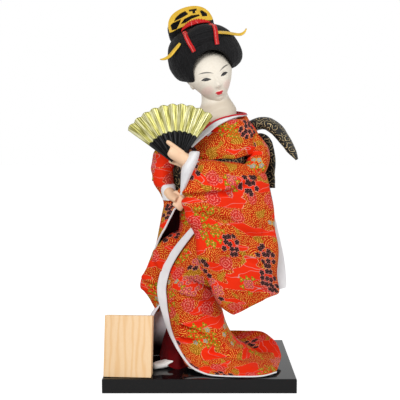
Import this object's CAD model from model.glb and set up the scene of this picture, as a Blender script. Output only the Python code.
# %% [markdown]
# # A dressed dancer doll on a lacquered plinth
# Dolls of this kind are built from the inside out: a wound core on two rods, wire arms, a moulded
# head, and then real clothes, glued and folded in layers. The solid model fixes the place and
# size of every piece. This lesson makes the looks: cloth as thin lofted sheets, hair as combed
# forms, a painted face, and a finish for each surface.

# %% The frame and its units
import math

import bmesh
import bpy
import numpy as np
from mathutils import Matrix, Vector, noise
from mathutils.bvhtree import BVHTree


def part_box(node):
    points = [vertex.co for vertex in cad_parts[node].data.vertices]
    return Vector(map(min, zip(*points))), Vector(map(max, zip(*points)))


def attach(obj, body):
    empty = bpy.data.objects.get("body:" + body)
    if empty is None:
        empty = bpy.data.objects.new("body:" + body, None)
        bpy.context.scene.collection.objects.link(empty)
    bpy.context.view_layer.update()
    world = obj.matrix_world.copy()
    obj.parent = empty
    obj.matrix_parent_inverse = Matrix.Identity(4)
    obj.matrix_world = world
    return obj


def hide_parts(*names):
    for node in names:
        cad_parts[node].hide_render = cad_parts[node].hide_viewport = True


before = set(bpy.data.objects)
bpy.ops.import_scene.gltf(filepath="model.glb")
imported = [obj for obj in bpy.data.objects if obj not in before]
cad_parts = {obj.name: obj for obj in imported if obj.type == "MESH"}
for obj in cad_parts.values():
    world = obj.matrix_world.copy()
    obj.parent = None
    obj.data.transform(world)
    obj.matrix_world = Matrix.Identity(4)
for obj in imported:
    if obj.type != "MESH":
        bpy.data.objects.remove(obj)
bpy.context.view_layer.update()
MM = 0.001
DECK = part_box("base_plinth")[1][2] / MM
FIGURE = "figure_on_plinth"
HEAD = "head_with_hair"
LEFT_HAND = "left_hand_with_fan"
RIGHT_HAND = "right_hand"
scene = bpy.context.scene
print("frame:", len(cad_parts), "nodes, deck at", round(DECK, 2), "mm")

# %% [markdown]
# ## Camera
# The photograph was taken from a little above the doll's waist. The plinth's corners fix the
# camera: its distance, its height, a small downward pitch, and the lens for a square frame. It
# could be set by eye, but known corners give it once and for all.

# %% Camera
CAMERA_PLACE = (0.00047, -0.6628, 0.2107)
CAMERA_PITCH = 0.1
PIXELS_WIDE = 400
FOCAL_PIXELS = 811.85
SENSOR_WIDTH = 36

camera_data = bpy.data.cameras.new("camera")
camera = bpy.data.objects.new("camera", camera_data)
scene.collection.objects.link(camera)
camera.location = CAMERA_PLACE
camera.rotation_euler = (math.pi / 2 - CAMERA_PITCH, 0, 0)
camera_data.sensor_width = SENSOR_WIDTH
camera_data.lens = FOCAL_PIXELS / PIXELS_WIDE * SENSOR_WIDTH
scene.camera = camera
scene.view_settings.view_transform = "Standard"
print("lens", round(camera_data.lens, 2), "mm")

# %% [markdown]
# ## Shader sums as Python
# A finish is a small sum over a surface: where a thread lies, how far a petal reaches. One class
# stands for a socket, so that `1 - mask` or `radius / pitch + turn` adds the Math nodes by itself.
# Nodes could be placed one by one in the editor, but a sum is easier to read as a sum. Any other
# node comes from one method. Colours are mixed, never added, because a Math node would turn them
# grey.

# %% Sockets with arithmetic
CLOTH_MAP = "cloth"
MIX_RESULT = 2


class Val:
    """One socket's value inside a recipe, with the arithmetic that adds nodes."""

    def __init__(self, recipe, socket):
        self.recipe = recipe
        self.socket = socket

    def out(self, name):
        return Val(self.recipe, self.socket.node.outputs[name])

    def math(self, operation, first, second=0.0):
        return self.recipe.node("ShaderNodeMath", {"operation": operation}, {0: first, 1: second})

    def __add__(self, other):
        return self.math("ADD", self, other)

    __radd__ = __add__

    def __sub__(self, other):
        return self.math("SUBTRACT", self, other)

    def __rsub__(self, other):
        return self.math("SUBTRACT", other, self)

    def __mul__(self, other):
        return self.math("MULTIPLY", self, other)

    __rmul__ = __mul__

    def __truediv__(self, other):
        return self.math("DIVIDE", self, other)

    def __pow__(self, other):
        return self.math("POWER", self, other)

    def __mod__(self, other):
        return self.math("FLOORED_MODULO", self, other)

    def __lt__(self, other):
        return self.math("LESS_THAN", self, other)

    def __gt__(self, other):
        return self.math("GREATER_THAN", self, other)

    def __abs__(self):
        return self.math("ABSOLUTE", self)

    def most(self, other):
        return self.math("MAXIMUM", self, other)

    def wave(self):
        return self.math("COSINE", self * (2 * math.pi))


class Recipe:
    """The nodes of a material or a world, made from expressions."""

    def __init__(self, name, kind="materials"):
        self.holder = getattr(bpy.data, kind).new(name)
        self.holder.use_nodes = True
        self.tree = self.holder.node_tree
        self.tree.nodes.clear()

    def node(self, kind, settings=None, sockets=None, out=0):
        made = self.tree.nodes.new(kind)
        for name, value in (settings or {}).items():
            setattr(made, name, value)
        for key, value in (sockets or {}).items():
            if isinstance(value, Val):
                self.tree.links.new(value.socket, made.inputs[key])
            else:
                made.inputs[key].default_value = value
        return Val(self, made.outputs[out]) if made.outputs else None

    def flat(self):
        """A place on the cloth laid flat, in metres."""
        return self.node("ShaderNodeUVMap", {"uv_map": CLOTH_MAP})

    def own_place(self):
        """A place in the object's own coordinates, in metres."""
        return self.node("ShaderNodeTexCoord", {}, {}, "Object")

    def kept(self, name):
        """A vector that the mesh keeps for each point."""
        return self.node("ShaderNodeAttribute", {"attribute_name": name}, {}, "Vector")

    def mix(self, share, low, high):
        sockets = {0: share, 6: low, 7: high}
        return self.node("ShaderNodeMix", {"data_type": "RGBA"}, sockets, MIX_RESULT)

    def step(self, value, low, high):
        sockets = {"Value": value, "From Min": low, "From Max": high}
        return self.node("ShaderNodeMapRange", {"interpolation_type": "SMOOTHSTEP"}, sockets)

    def vector(self, operation, first, second):
        return self.node("ShaderNodeVectorMath", {"operation": operation}, {0: first, 1: second})

    def parts(self, vector):
        split = self.node("ShaderNodeSeparateXYZ", {}, {"Vector": vector})
        return split, split.out("Y"), split.out("Z")

    def noise(self, place, size, detail=2.0, flat=True):
        settings = {"noise_dimensions": "2D" if flat else "3D"}
        sockets = {"Vector": place, "Scale": 1 / size, "Detail": detail}
        return self.node("ShaderNodeTexNoise", settings, sockets)

    def cells(self, place, size, randomness=0.85):
        settings = {"voronoi_dimensions": "2D", "feature": "F1"}
        sockets = {"Vector": place, "Scale": 1 / size, "Randomness": randomness}
        return self.node("ShaderNodeTexVoronoi", settings, sockets)

    def around(self, place, cell):
        """Distance from the middle of a cell in metres, and the turn round it from 0 to 1."""
        away = self.vector("SUBTRACT", place, cell.out("Position"))
        radius = self.node("ShaderNodeVectorMath", {"operation": "LENGTH"}, {0: away}, "Value")
        x, y, _ = self.parts(away)
        return radius, x.math("ARCTAN2", y, x) / (2 * math.pi)

    def bump(self, height, distance, strength=1.0):
        sockets = {"Height": height, "Distance": distance, "Strength": strength}
        return self.node("ShaderNodeBump", {}, sockets)

    def finish(self, sockets):
        shader = self.node("ShaderNodeBsdfPrincipled", {}, sockets)
        self.node("ShaderNodeOutputMaterial", {}, {"Surface": shader})
        return self.holder


def linear(level):
    """One channel from 0 to 255, as it looks on a screen, as an amount of light."""
    return level / 255 / 12.92 if level < 11 else ((level / 255 + 0.055) / 1.055) ** 2.4


def rgb(red, green, blue):
    return (linear(red), linear(green), linear(blue), 1.0)


print("recipe methods:", [name for name in vars(Recipe) if not name.startswith("_")])

# %% [markdown]
# ## Brocade
# The kimono is woven in vermilion, with fine gold ripples, plain bands of mist outlined in a pale
# thread, and clusters of blossom: rosy chrysanthemums, dark leaves on pink, olive leaves and small
# blue flowers. A picture of a cloth could be laid on, but it would blur and repeat. So the pattern
# is drawn on the flat cloth: each sheet has a map in metres, scattered cells give the places of
# spirals and clusters, and the polar place in a cell draws petals.

# %% Brocade colours
RED = rgb(234, 46, 12)
RIPPLE_GROUND = rgb(204, 34, 6)
RIPPLE_DARK = rgb(118, 20, 6)
GOLD_THREAD = rgb(242, 178, 72)
PALE_THREAD = rgb(222, 184, 158)
STREAM_THREAD = rgb(196, 186, 178)
ROSE = rgb(230, 138, 126)
ROSE_DEEP = rgb(176, 30, 44)
OLIVE = rgb(134, 128, 22)
OLIVE_LIGHT = rgb(204, 168, 66)
BLOSSOM_DARK = rgb(14, 11, 14)
BLUE_BLOSSOM = rgb(126, 150, 150)
print("vermilion as light:", [round(c, 3) for c in RED])

# %% [markdown]
# ### Ripples and mist
# The ripples are gold threads that turn round many middles. One spiral in each cell does that: the
# distance from the middle plus the turn rises by one from thread to thread. Long level clouds part
# the rippled ground from plain bands, and a speckle breaks the threads, as a weave does.

# %% Ripples and mist
DRIFT = (0.011, 0.0034)
MIST_SIZE = 0.017
MIST_EDGE = 0.438
RIPPLE_PITCH = 0.0015
SWIRL_PITCH = 0.0095
GRAIN_SIZE = 0.0008
MOSS_SIZE = 0.013
STREAM_SIZE = 0.012
STREAM_LEVEL = 0.46


def drifting(r, flat, size, reach):
    """Places on the cloth pushed about, so that nothing drawn there is too regular."""
    drift = r.noise(flat, size, 1.0).out("Color")
    return r.vector("ADD", flat, r.vector("MULTIPLY", drift, (reach, reach, 0)))


def spirals(r, bent, cell, pitch, low, high):
    """Threads that wind round the middle of each cell."""
    radius, turn = r.around(bent, r.cells(bent, cell))
    return 1 - r.step(abs((radius / pitch + turn) % 1.0 - 0.5), low, high)


def ripples(r, flat, bent, speckle):
    """The ground's colour, the gold threads and the part of the cloth that is rippled."""
    mist = r.noise(r.vector("MULTIPLY", bent, (0.5, 1.4, 1)), MIST_SIZE, 0.8)
    rippled = r.step(mist, MIST_EDGE - 0.003, MIST_EDGE + 0.004)
    outline = (1 - r.step(abs(mist - MIST_EDGE), 0.002, 0.007)) * speckle * 0.7
    thread = spirals(r, bent, SWIRL_PITCH, RIPPLE_PITCH, 0.1, 0.2) * speckle
    moss = r.step(r.noise(bent, MOSS_SIZE, 1.0), 0.6, 0.64)
    grain = r.step(r.noise(flat, GRAIN_SIZE, 1.0), 0.46, 0.66)
    ground = r.mix(moss * 0.6, r.mix(grain * 0.6, RIPPLE_GROUND, RIPPLE_DARK), OLIVE)
    cloth = r.mix(rippled, RED, r.mix(thread, ground, GOLD_THREAD))
    cloth = r.mix(outline, cloth, PALE_THREAD)
    flow = r.noise(r.vector("MULTIPLY", bent, (0.3, 1.5, 1)), STREAM_SIZE, 0.5)
    stream = (1 - r.step(abs(flow - STREAM_LEVEL), 0.003, 0.01)) * (1 - rippled)
    return r.mix(stream * 0.55, cloth, STREAM_THREAD), thread, rippled


print("ripples every", RIPPLE_PITCH / MM, "mm")

# %% [markdown]
# ### Chrysanthemums
# A chrysanthemum is rings of petals, each ring set half a petal on from the last. Modelled petals
# would be lost at this size, so the ring's number and the turn give each petal's rounded rim.

# %% Chrysanthemums
DAISY_PITCH = 0.017
DAISY_REACH = 0.0062
DAISY_RING = 0.0021
DAISY_PETALS = 12
DAISY_SHARE = 0.3


def chrysanthemums(r, cloth, bent, speckle):
    cell = r.cells(bent, DAISY_PITCH)
    radius, turn = r.around(bent, cell)
    ring = radius / DAISY_RING
    lip = ring % 1.0
    petal = abs((turn * DAISY_PETALS + (ring - lip) * 0.5) % 1.0 - 0.5) * 2
    chosen = r.parts(cell.out("Color"))[0] < DAISY_SHARE
    shown = chosen * (radius + lip * 0.0006 < DAISY_REACH)
    rim = 1 - r.step(abs(petal * petal * 0.45 + lip - 0.86), 0.1, 0.22)
    cloth = r.mix(shown * 0.8, cloth, r.mix(lip, ROSE_DEEP, RED))
    return r.mix(rim * shown * speckle, cloth, ROSE)


print("chrysanthemums reach", DAISY_REACH / MM, "mm")

# %% [markdown]
# ### Blossom clusters
# Small buds fill a close grid of cells, and a wider grid says which of them are shown and of what
# kind they are, so that each kind comes in clusters. A wave round the bud gives its lobes.

# %% Blossom clusters
BUD_PITCH = 0.0045
BUD_RIM = 0.0022
BUD_FILL = 0.0016
BUD_HEART = 0.0004
SOFT_EDGE = 0.0002
CLUSTER_PITCH = 0.027
CLUSTER_REACH = 0.0078
DARK_TO, ROSE_TO, OLIVE_TO, BLUE_TO = 0.28, 0.44, 0.74, 0.82


def clusters(r, cloth, flat):
    """The cloth with its clusters, and where their buds lie."""
    bud = r.cells(flat, BUD_PITCH, 0.7)
    radius, turn = r.around(flat, bud)
    tint, sway, _ = r.parts(bud.out("Color"))
    group = r.cells(bud.out("Position"), CLUSTER_PITCH)
    kind, wide, _ = r.parts(group.out("Color"))
    kind = kind + (tint - 0.5) * 0.16
    inside = group * CLUSTER_PITCH - wide * 0.004 < CLUSTER_REACH
    inside = inside * (kind < BLUE_TO)
    dark = kind < DARK_TO
    rose = (kind > DARK_TO) * (kind < ROSE_TO)
    olive = (kind > ROSE_TO) * (kind < OLIVE_TO)
    blue = kind > OLIVE_TO
    lobes = dark * 5 + rose * 8 + olive * 3 + blue * 5
    lobe = (lobes * turn + sway).wave()
    edge = radius - (olive * 0.0003 + 0.0004 - dark * 0.00022) * lobe - dark * 0.0001
    outer = (1 - r.step(edge, BUD_RIM, BUD_RIM + SOFT_EDGE)) * inside
    inner = (1 - r.step(edge - dark * 0.0003, BUD_FILL, BUD_FILL + SOFT_EDGE)) * inside
    vein = inner * r.step(lobe * -1, 0.4, 0.8) * r.step(radius, BUD_HEART, 2 * BUD_HEART)
    heart = (1 - r.step(radius, BUD_HEART, BUD_HEART + SOFT_EDGE)) * inside * (kind > DARK_TO)
    rim = r.mix(blue, r.mix(olive, ROSE, RED), OLIVE_LIGHT)
    fill = r.mix(rose, BLOSSOM_DARK, ROSE_DEEP)
    fill = r.mix(olive, fill, OLIVE)
    fill = r.mix(blue, fill, BLUE_BLOSSOM)
    cloth = r.mix(outer, cloth, rim)
    cloth = r.mix(inner, cloth, fill)
    cloth = r.mix(vein * (0.8 - dark * 0.5), cloth, r.mix(olive, ROSE, GOLD_THREAD))
    return r.mix(heart, cloth, GOLD_THREAD), outer


print("clusters every", CLUSTER_PITCH / MM, "mm")

# %% [markdown]
# ### The woven cloth
# The three patterns lie over one another. Gold threads are smoother than the ground and stand up a
# little, and a fine plain weave covers all of it.

# %% Brocade
SPECKLE_SIZE = 0.0011
WEAVE_PITCH = 0.0005


def brocade():
    r = Recipe("brocade_red")
    flat = r.flat()
    bent = drifting(r, flat, *DRIFT)
    speckle = r.step(r.noise(flat, SPECKLE_SIZE, 0.0), 0.36, 0.5)
    cloth, thread, rippled = ripples(r, flat, bent, speckle)
    cloth = chrysanthemums(r, cloth, bent, speckle)
    cloth, buds = clusters(r, cloth, flat)
    u, v, _ = r.parts(flat)
    weave = (u / WEAVE_PITCH).wave() * (v / WEAVE_PITCH).wave()
    return r.finish({
        "Base Color": cloth,
        "Roughness": 0.66 - thread * 0.16,
        "Normal": r.bump(weave * 0.3 + thread * rippled + buds, 0.00016, 0.5),
        "Specular IOR Level": 0.07,
    })


BROCADE = brocade()
print("brocade nodes:", len(BROCADE.node_tree.nodes))

# %% [markdown]
# ## Obi cloth
# The sash is black, with gold scrolls that curl about scattered middles: the kimono's spirals once
# more, with a wider pitch, and left out in patches. Its ribs run round the waist.

# %% Obi cloth
OBI_BLACK = rgb(13, 12, 11)
OBI_GOLD = rgb(186, 166, 122)
OBI_DRIFT = (0.006, 0.004)
SCROLL_CELL = 0.0066
SCROLL_PITCH = 0.0024
PATCH_SIZE = 0.012
OBI_RIB = (0.0009, 0.00045)


def obi_cloth():
    r = Recipe("obi_brocade")
    flat = r.flat()
    bent = drifting(r, flat, *OBI_DRIFT)
    scroll = spirals(r, bent, SCROLL_CELL, SCROLL_PITCH, 0.05, 0.12)
    thread = scroll * r.step(r.noise(flat, PATCH_SIZE), 0.32, 0.4)
    u, v, _ = r.parts(flat)
    rib = (v / OBI_RIB[1]).wave() * (u / OBI_RIB[0]).wave()
    return r.finish({
        "Base Color": r.mix(thread, OBI_BLACK, OBI_GOLD),
        "Roughness": 0.5 - thread * 0.15,
        "Metallic": thread * 0.3,
        "Normal": r.bump(rib * 0.4 + thread, 0.00018, 0.6),
        "Specular IOR Level": 0.25,
    })


OBI = obi_cloth()
print("obi cloth nodes:", len(OBI.node_tree.nodes))

# %% [markdown]
# ## Satin
# Linings, cuffs and the collar are white satin, and the inner garment is deep red. One plain colour
# would do from afar, but a fine rib and a roughness that wanders break up the light, as on the real
# cloth. The under robe is dyed: its white runs into deep red towards the hem.

# %% Satin
CLOUD_SIZE = 0.009
RIB_ROUND = 0.0004
RIB_DOWN = 0.0007
DYED_FROM = (0.043, 0.064)


def satin(name, light, shade, rough, gloss=0.35, dyed=None):
    """Ribbed satin in two clouded tones, or in one that runs into the other between two depths."""
    r = Recipe(name)
    flat = r.flat()
    cloud = r.noise(flat, CLOUD_SIZE)
    u, v, _ = r.parts(flat)
    rib = (u / RIB_ROUND).wave() + (v / RIB_DOWN).wave() * 0.4
    if dyed:
        tone = r.mix(r.step(v * -1 + cloud * 0.006, *dyed), light, shade)
    else:
        tone = r.mix(cloud, shade, light)
    return r.finish({
        "Base Color": tone,
        "Roughness": cloud * 0.16 + rough,
        "Normal": r.bump(rib, 0.00006, 0.4),
        "Specular IOR Level": gloss,
    })


WHITE_SATIN = satin("lining_white", rgb(238, 237, 238), rgb(221, 219, 221), 0.36)
DYED_LINING = satin("lining_dyed", rgb(236, 232, 238), rgb(34, 3, 7), 0.45, 0.1, DYED_FROM)
DARK_LINING = satin("lining_shadow", rgb(64, 6, 12), rgb(24, 3, 6), 0.6, 0.1)
RED_SATIN = satin("lining_red", rgb(108, 3, 10), rgb(60, 1, 5), 0.5, 0.06)
COLLAR_RED = satin("collar_red", rgb(208, 38, 54), rgb(178, 22, 36), 0.45, 0.2)
TABI_COTTON = satin("tabi_white", rgb(244, 243, 240), rgb(228, 226, 222), 0.7)
print("satins:", [m.name for m in (WHITE_SATIN, DYED_LINING, DARK_LINING, RED_SATIN, COLLAR_RED)])

# %% [markdown]
# ## Lacquer and wood
# The plinth is dipped in black lacquer: deep and mirror smooth, with the faintest waviness. The
# plaque is bare softwood with upright grain. These pieces carry no map, so their finish is placed by
# the object's own coordinates, in metres, and the grain goes through the block as in real wood.

# %% Lacquer and wood
DUST_SIZE = 0.004
GROWTH_PITCH = 0.0052
FIBRE_SIZE = 0.0006


def lacquer():
    r = Recipe("lacquer_black")
    place = r.own_place()
    ripple = r.noise(place, 0.03, 1.0, flat=False)
    dust = r.noise(place, DUST_SIZE, 4.0, flat=False)
    return r.finish({
        "Base Color": r.mix(dust, rgb(8, 8, 9), rgb(16, 16, 17)),
        "Roughness": dust * 0.05 + 0.05,
        "Normal": r.bump(ripple, 0.0002, 0.12),
        "Specular IOR Level": 0.17,
    })


def pale_wood():
    r = Recipe("pale_wood")
    place = r.own_place()
    sway = r.noise(r.vector("MULTIPLY", place, (1, 1, 0.12)), 0.012, 2.0, flat=False)
    x, _, _ = r.parts(place)
    growth = (x / GROWTH_PITCH + sway * 2.6).wave() * 0.5 + 0.5
    fibre = r.noise(r.vector("MULTIPLY", place, (1, 1, 0.03)), FIBRE_SIZE, 2.0, flat=False)
    tone = r.mix(growth ** 2.2, rgb(236, 204, 162), rgb(228, 187, 136))
    tone = r.mix(fibre * 0.35, tone, rgb(222, 174, 118))
    return r.finish({
        "Base Color": tone,
        "Roughness": fibre * 0.2 + 0.5,
        "Normal": r.bump(fibre + growth * 0.4, 0.0001, 0.5),
    })


LACQUER = lacquer()
PALE_WOOD = pale_wood()
print("wood nodes:", len(PALE_WOOD.node_tree.nodes))

# %% [markdown]
# ## Gilding, wire, sticks and foil
# The comb and pins are cast and gilded, the wires are bare, and the sticks are lacquered. All of them
# are one tone with a slight cloud in it, so one recipe makes them. The fan's leaf is pale gold foil
# on paper: its pleats turn light and dark by turns, so the finish reads which pleat a point is on.

# %% Gilding, wire, sticks and foil
PLEAT_PLACE = "pleat_place"


def clouded(name, light, shade, metallic, rough, gloss=0.5):
    """A hard surface in two close tones, with a gloss that wanders a little."""
    r = Recipe(name)
    place = r.own_place()
    cloud = r.noise(place, 0.004, 3.0, flat=False)
    return r.finish({
        "Base Color": r.mix(cloud, shade, light),
        "Roughness": cloud * 0.18 + rough,
        "Metallic": metallic,
        "Normal": r.bump(cloud, 0.0001, 0.3),
        "Specular IOR Level": gloss,
    })


def foil():
    r = Recipe("fan_gold")
    place = r.kept(PLEAT_PLACE)
    turn, _, _ = r.parts(place)
    facet = turn * 2 - (turn * 2) % 1.0
    side = facet % 2.0
    glint = r.noise(r.vector("MULTIPLY", place, (9, 1.6, 1)), 1.0, 2.0)
    tone = r.mix(r.step(glint, 0.36, 0.62), rgb(112, 109, 42), rgb(206, 200, 114))
    tone = r.mix(r.step(glint + side * 0.2, 0.6, 0.8), tone, rgb(252, 250, 214))
    return r.finish({
        "Base Color": r.mix(side * 0.45, tone, rgb(146, 140, 62)),
        "Roughness": glint * 0.2 + 0.2,
        "Metallic": 0.5,
        "Normal": r.bump(glint, 0.0003, 0.5),
    })


GOLD = clouded("ornament_gold", rgb(224, 186, 54), rgb(192, 148, 28), 0.25, 0.3)
STEEL = clouded("wire_steel", rgb(165, 168, 172), rgb(140, 143, 148), 0.9, 0.3)
DOWEL_WOOD = clouded("dowel_wood", rgb(206, 166, 112), rgb(186, 142, 88), 0.0, 0.6)
STICK_BLACK = clouded("fan_black", rgb(10, 10, 12), rgb(4, 4, 5), 0.0, 0.14, 0.22)
FOIL = foil()
print("hard finishes:", [m.name for m in (GOLD, STEEL, DOWEL_WOOD, STICK_BLACK, FOIL)])

# %% [markdown]
# ## Lofts
# Nearly everything soft on the doll is a loft: a closed or open strip of cloth carried over loops.
# Cloth could be simulated, but here it is sewn, padded and set in its folds, and a loft gives just
# the folds that are seen. A station names a loop's height, middle, two half widths, turn and slopes,
# and a smooth curve runs through the stations. A second kind of loop sits square to a path, for
# bands and fingers.

# %% Stations and loops
STATION_VALUES = 8


def smooth_rows(rows, count):
    """Rows of values on a smooth curve through the stations."""
    rows = np.asarray(rows, float)
    last = len(rows) - 1
    place = np.linspace(0, last, count)
    i = np.minimum(place.astype(int), last - 1)
    t = (place - i)[:, None]
    a, b, c, d = (rows[np.clip(i + k, 0, last)] for k in (-1, 0, 1, 2))
    return b + 0.5 * t * (c - a + t * (2 * a - 5 * b + 4 * c - d + t * (3 * (b - c) + d - a)))


def stations(rows):
    """Stations filled up with noughts: height, x, y, two half widths, turn and two slopes."""
    return np.array([(*row, *[0] * (STATION_VALUES - len(row))) for row in rows], float)


def rounded(value, n):
    """A sine or cosine bent towards a squarer loop as n rises above 2."""
    return np.sign(value) * np.abs(value) ** (2 / n)


def level_loops(rows, sides, count, fold=None, square=2.0, first=90, last=450):
    """Level loops through stations of height, middle, half widths, turn and slopes."""
    z, x, y, wide, deep, turn, slope_x, slope_y = smooth_rows(stations(rows), count).T[:, :, None]
    share = np.linspace(0, 1, count)[:, None]
    end = last(share) if callable(last) else last
    angle = np.radians(first + (end - first) * np.linspace(0, 1, sides + 1)[None, :])
    swell = 1 + (fold(angle, share) if fold else 0)
    n = square(share) if callable(square) else square
    a = wide * swell * rounded(np.cos(angle), n)
    b = deep * swell * rounded(np.sin(angle), n)
    turn = np.radians(turn)
    dx = a * np.cos(turn) - b * np.sin(turn)
    dy = a * np.sin(turn) + b * np.cos(turn)
    return np.stack([x + dx, y + dy, z + slope_x * dx + slope_y * dy], axis=2)


def unit(vectors):
    return vectors / np.maximum(np.linalg.norm(vectors, axis=-1, keepdims=True), 1e-9)


def path_loops(rows, sides, count, out, square=2.0, aside=0.0):
    """Loops square to a path of x, y, z, half width and half thickness; out is where they face."""
    table = smooth_rows(rows, count)
    path = table[:, :3]
    ahead = unit(np.gradient(path, axis=0))
    shares = np.linspace(0, 1, count)
    outward = [out(p, s) if callable(out) else out for p, s in zip(path, shares)]
    across = unit(np.cross(ahead, np.array(outward, float)))
    up = np.cross(across, ahead)
    angle = np.linspace(0, 2 * math.pi, sides + 1)
    wide = aside + table[:, 3, None] * rounded(np.cos(angle), square)
    thick = table[:, 4, None] * rounded(np.sin(angle), square)
    return path[:, None] + across[:, None] * wide[..., None] + up[:, None] * thick[..., None]


print("stations of", STATION_VALUES, "values")

# %% [markdown]
# ## Folds
# A loft alone is too smooth for cloth. Soft noise gives slow swells, and a crease is a dip along a
# line with a bulge on its upper side. Both are pushed along the grid's normals, as a sculptor would
# do it by hand, but in code they come out the same each time.

# %% Swells and creases
CREASE_BULGE = 0.85


def pushed(grid, amount):
    """The grid moved along its normals, with a closed loop kept closed."""
    normal = unit(np.cross(np.gradient(grid, axis=1), np.gradient(grid, axis=0)))
    middle = grid.mean(axis=(0, 1))
    if ((grid - middle) * normal).sum() < 0:
        normal = -normal
    closed = np.allclose(grid[:, 0], grid[:, -1])
    moved = grid + normal * amount[..., None]
    if closed:
        seam = (moved[:, 0] + moved[:, -1]) / 2
        moved[:, 0] = seam
        moved[:, -1] = seam
    return moved


def wrinkles(grid, size, height, stretch=(1, 1, 1)):
    """Soft random swells over a grid, in millimetres."""
    scale = np.array(stretch) / size
    rows = [[noise.noise(Vector(p * scale)) for p in row] for row in grid]
    return height * np.array(rows)


def creases(grid, lines):
    """Sharp folds pressed into a grid's front: each from x, z to x, z, with a depth and a width."""
    x, z = grid[..., 0], grid[..., 2]
    front = grid[..., 1] < grid[..., 1].mean(axis=1, keepdims=True)
    total = np.zeros(x.shape)
    for x0, z0, x1, z1, depth, wide in lines:
        run = np.array([x1 - x0, z1 - z0])
        length = np.hypot(*run)
        along = ((x - x0) * run[0] + (z - z0) * run[1]) / length
        off = ((z - z0) * run[0] - (x - x0) * run[1]) / length
        past = np.maximum(np.maximum(-along, along - length), 0)
        bulge = CREASE_BULGE * np.exp(-((off - 2 * wide) / (1.3 * wide)) ** 2)
        dip = np.exp(-(off / wide) ** 2)
        total += np.exp(-(past / (2.5 * wide)) ** 2) * depth * (bulge - dip)
    return np.where(front, total, 0)


print("creases bulge by", CREASE_BULGE, "of their depth")

# %% [markdown]
# ## Sheets
# A sheet is a grid with a thickness. A pattern could be projected on it from the front, but it would
# smear at the sides. So the grid's own lengths give a flat map, in metres, for the woven pattern, and
# the sheet's cut: how wide and long the cloth was before it was folded.

# %% Sheets of cloth
MERGE = 2e-6


def on_deck(points):
    return points + np.array([0, 0, DECK])


def flat_map(grid, start, even):
    """The grid laid flat, in metres: lengths round the loops, and down the columns.

    On a bent tube, even takes the mean of each row, so that the pattern isn't sheared.
    """
    across = np.linalg.norm(np.diff(grid, axis=1), axis=2)
    down = np.linalg.norm(np.diff(grid, axis=0), axis=2)
    if even:
        down[:] = down.mean(axis=1, keepdims=True)
    u = np.pad(np.cumsum(across, axis=1), ((0, 0), (1, 0)))
    v = np.pad(np.cumsum(down, axis=0), ((1, 0), (0, 0)))
    u = u - u[:, [grid.shape[1] // 2]]
    return np.stack([u * MM + start[0], start[1] - v * MM], axis=2)


def link(name, mesh, finish, slot, node=None, body=FIGURE):
    """An object for a mesh: its paint, its body, its slot and the solid that it stands for."""
    made = bpy.data.objects.new(name, mesh)
    scene.collection.objects.link(made)
    for paint in finish if isinstance(finish, (list, tuple)) else [finish]:
        mesh.materials.append(paint)
    mesh.shade_smooth()
    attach(made, body)
    if node:
        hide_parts(node)
    return made


def face_out(mesh):
    """Faces turned so that most of them look away from the middle."""
    form = bmesh.new()
    form.from_mesh(mesh)
    bmesh.ops.remove_doubles(form, verts=form.verts, dist=MERGE)
    bmesh.ops.recalc_face_normals(form, faces=form.faces)
    centre = sum((v.co for v in form.verts), Vector()) / len(form.verts)
    lean = sum((f.calc_center_median() - centre).dot(f.normal) * f.calc_area() for f in form.faces)
    if lean < 0:
        bmesh.ops.reverse_faces(form, faces=form.faces)
    form.to_mesh(mesh)
    form.free()


def cloth(name, grid, finish, slot, node=None, body=FIGURE, place=on_deck, thick=0.5, inner=False,
          start=(0, 0), even=False, laid=None):
    """A sheet of cloth from a grid in millimetres, with a thickness and the flat map of its cut."""
    rows, columns = grid.shape[:2]
    mesh = bpy.data.meshes.new(name)
    points = place(grid.reshape(-1, 3)) * MM
    corner = [(r * columns + c) for r in range(rows - 1) for c in range(columns - 1)]
    mesh.from_pydata(points, [], [(k, k + columns, k + columns + 1, k + 1) for k in corner])
    flat = flat_map(grid if laid is None else laid, start, even).reshape(-1, 2)
    layer = mesh.uv_layers.new(name=CLOTH_MAP)
    order = np.zeros(len(mesh.loops), int)
    mesh.loops.foreach_get("vertex_index", order)
    layer.uv.foreach_set("vector", flat[order].astype(np.float32).ravel())
    face_out(mesh)
    made = link(name, mesh, finish, slot, node, body)
    if thick:
        shell = made.modifiers.new("thickness", "SOLIDIFY")
        shell.thickness = thick * MM
        shell.offset = -1
        shell.material_offset = int(inner)
    return made


def cut_from(grid, folded=False):
    """Declares a sheet: its cut is the grid laid flat, and a folded band counts one side of two."""
    across = np.linalg.norm(np.diff(grid, axis=1), axis=2)
    down = np.linalg.norm(np.diff(grid, axis=0), axis=2)
    sides = 2 if folded else 1
    width = across.sum(axis=1).max() / sides
    length = down.sum(axis=0).max()
    spans = (across[:-1] + across[1:]) / 2 * (down[:, :-1] + down[:, 1:]) / 2
    share = min(max(spans.sum() / sides / (width * length), 0.3), 1.0)
    flat = (float(width * MM), float(length * MM))
    area = float(share * flat[0] * flat[1])


print("cloth map:", CLOTH_MAP)

# %% [markdown]
# ## Closed forms
# Hands, feet and hair are moulded: soft forms without a seam. Several closed lofts could simply
# overlap, but the joints would show, so they are melted together by a voxel remesh and smoothed.

# %% Closed forms


def closed_shell(grid):
    """Points and faces of a grid whose loops close, with a fan over each end."""
    ring = grid[:, :-1]
    rows, columns = ring.shape[:2]
    points = [*ring.reshape(-1, 3), ring[0].mean(axis=0), ring[-1].mean(axis=0)]
    faces = []
    for r in range(rows - 1):
        for c in range(columns):
            d = (c + 1) % columns
            here, below = r * columns, (r + 1) * columns
            faces.append((here + c, here + d, below + d, below + c))
    for c in range(columns):
        d = (c + 1) % columns
        end = (rows - 1) * columns
        faces.append((d, c, len(points) - 2))
        faces.append((end + c, end + d, len(points) - 1))
    return np.array(points), faces


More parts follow.
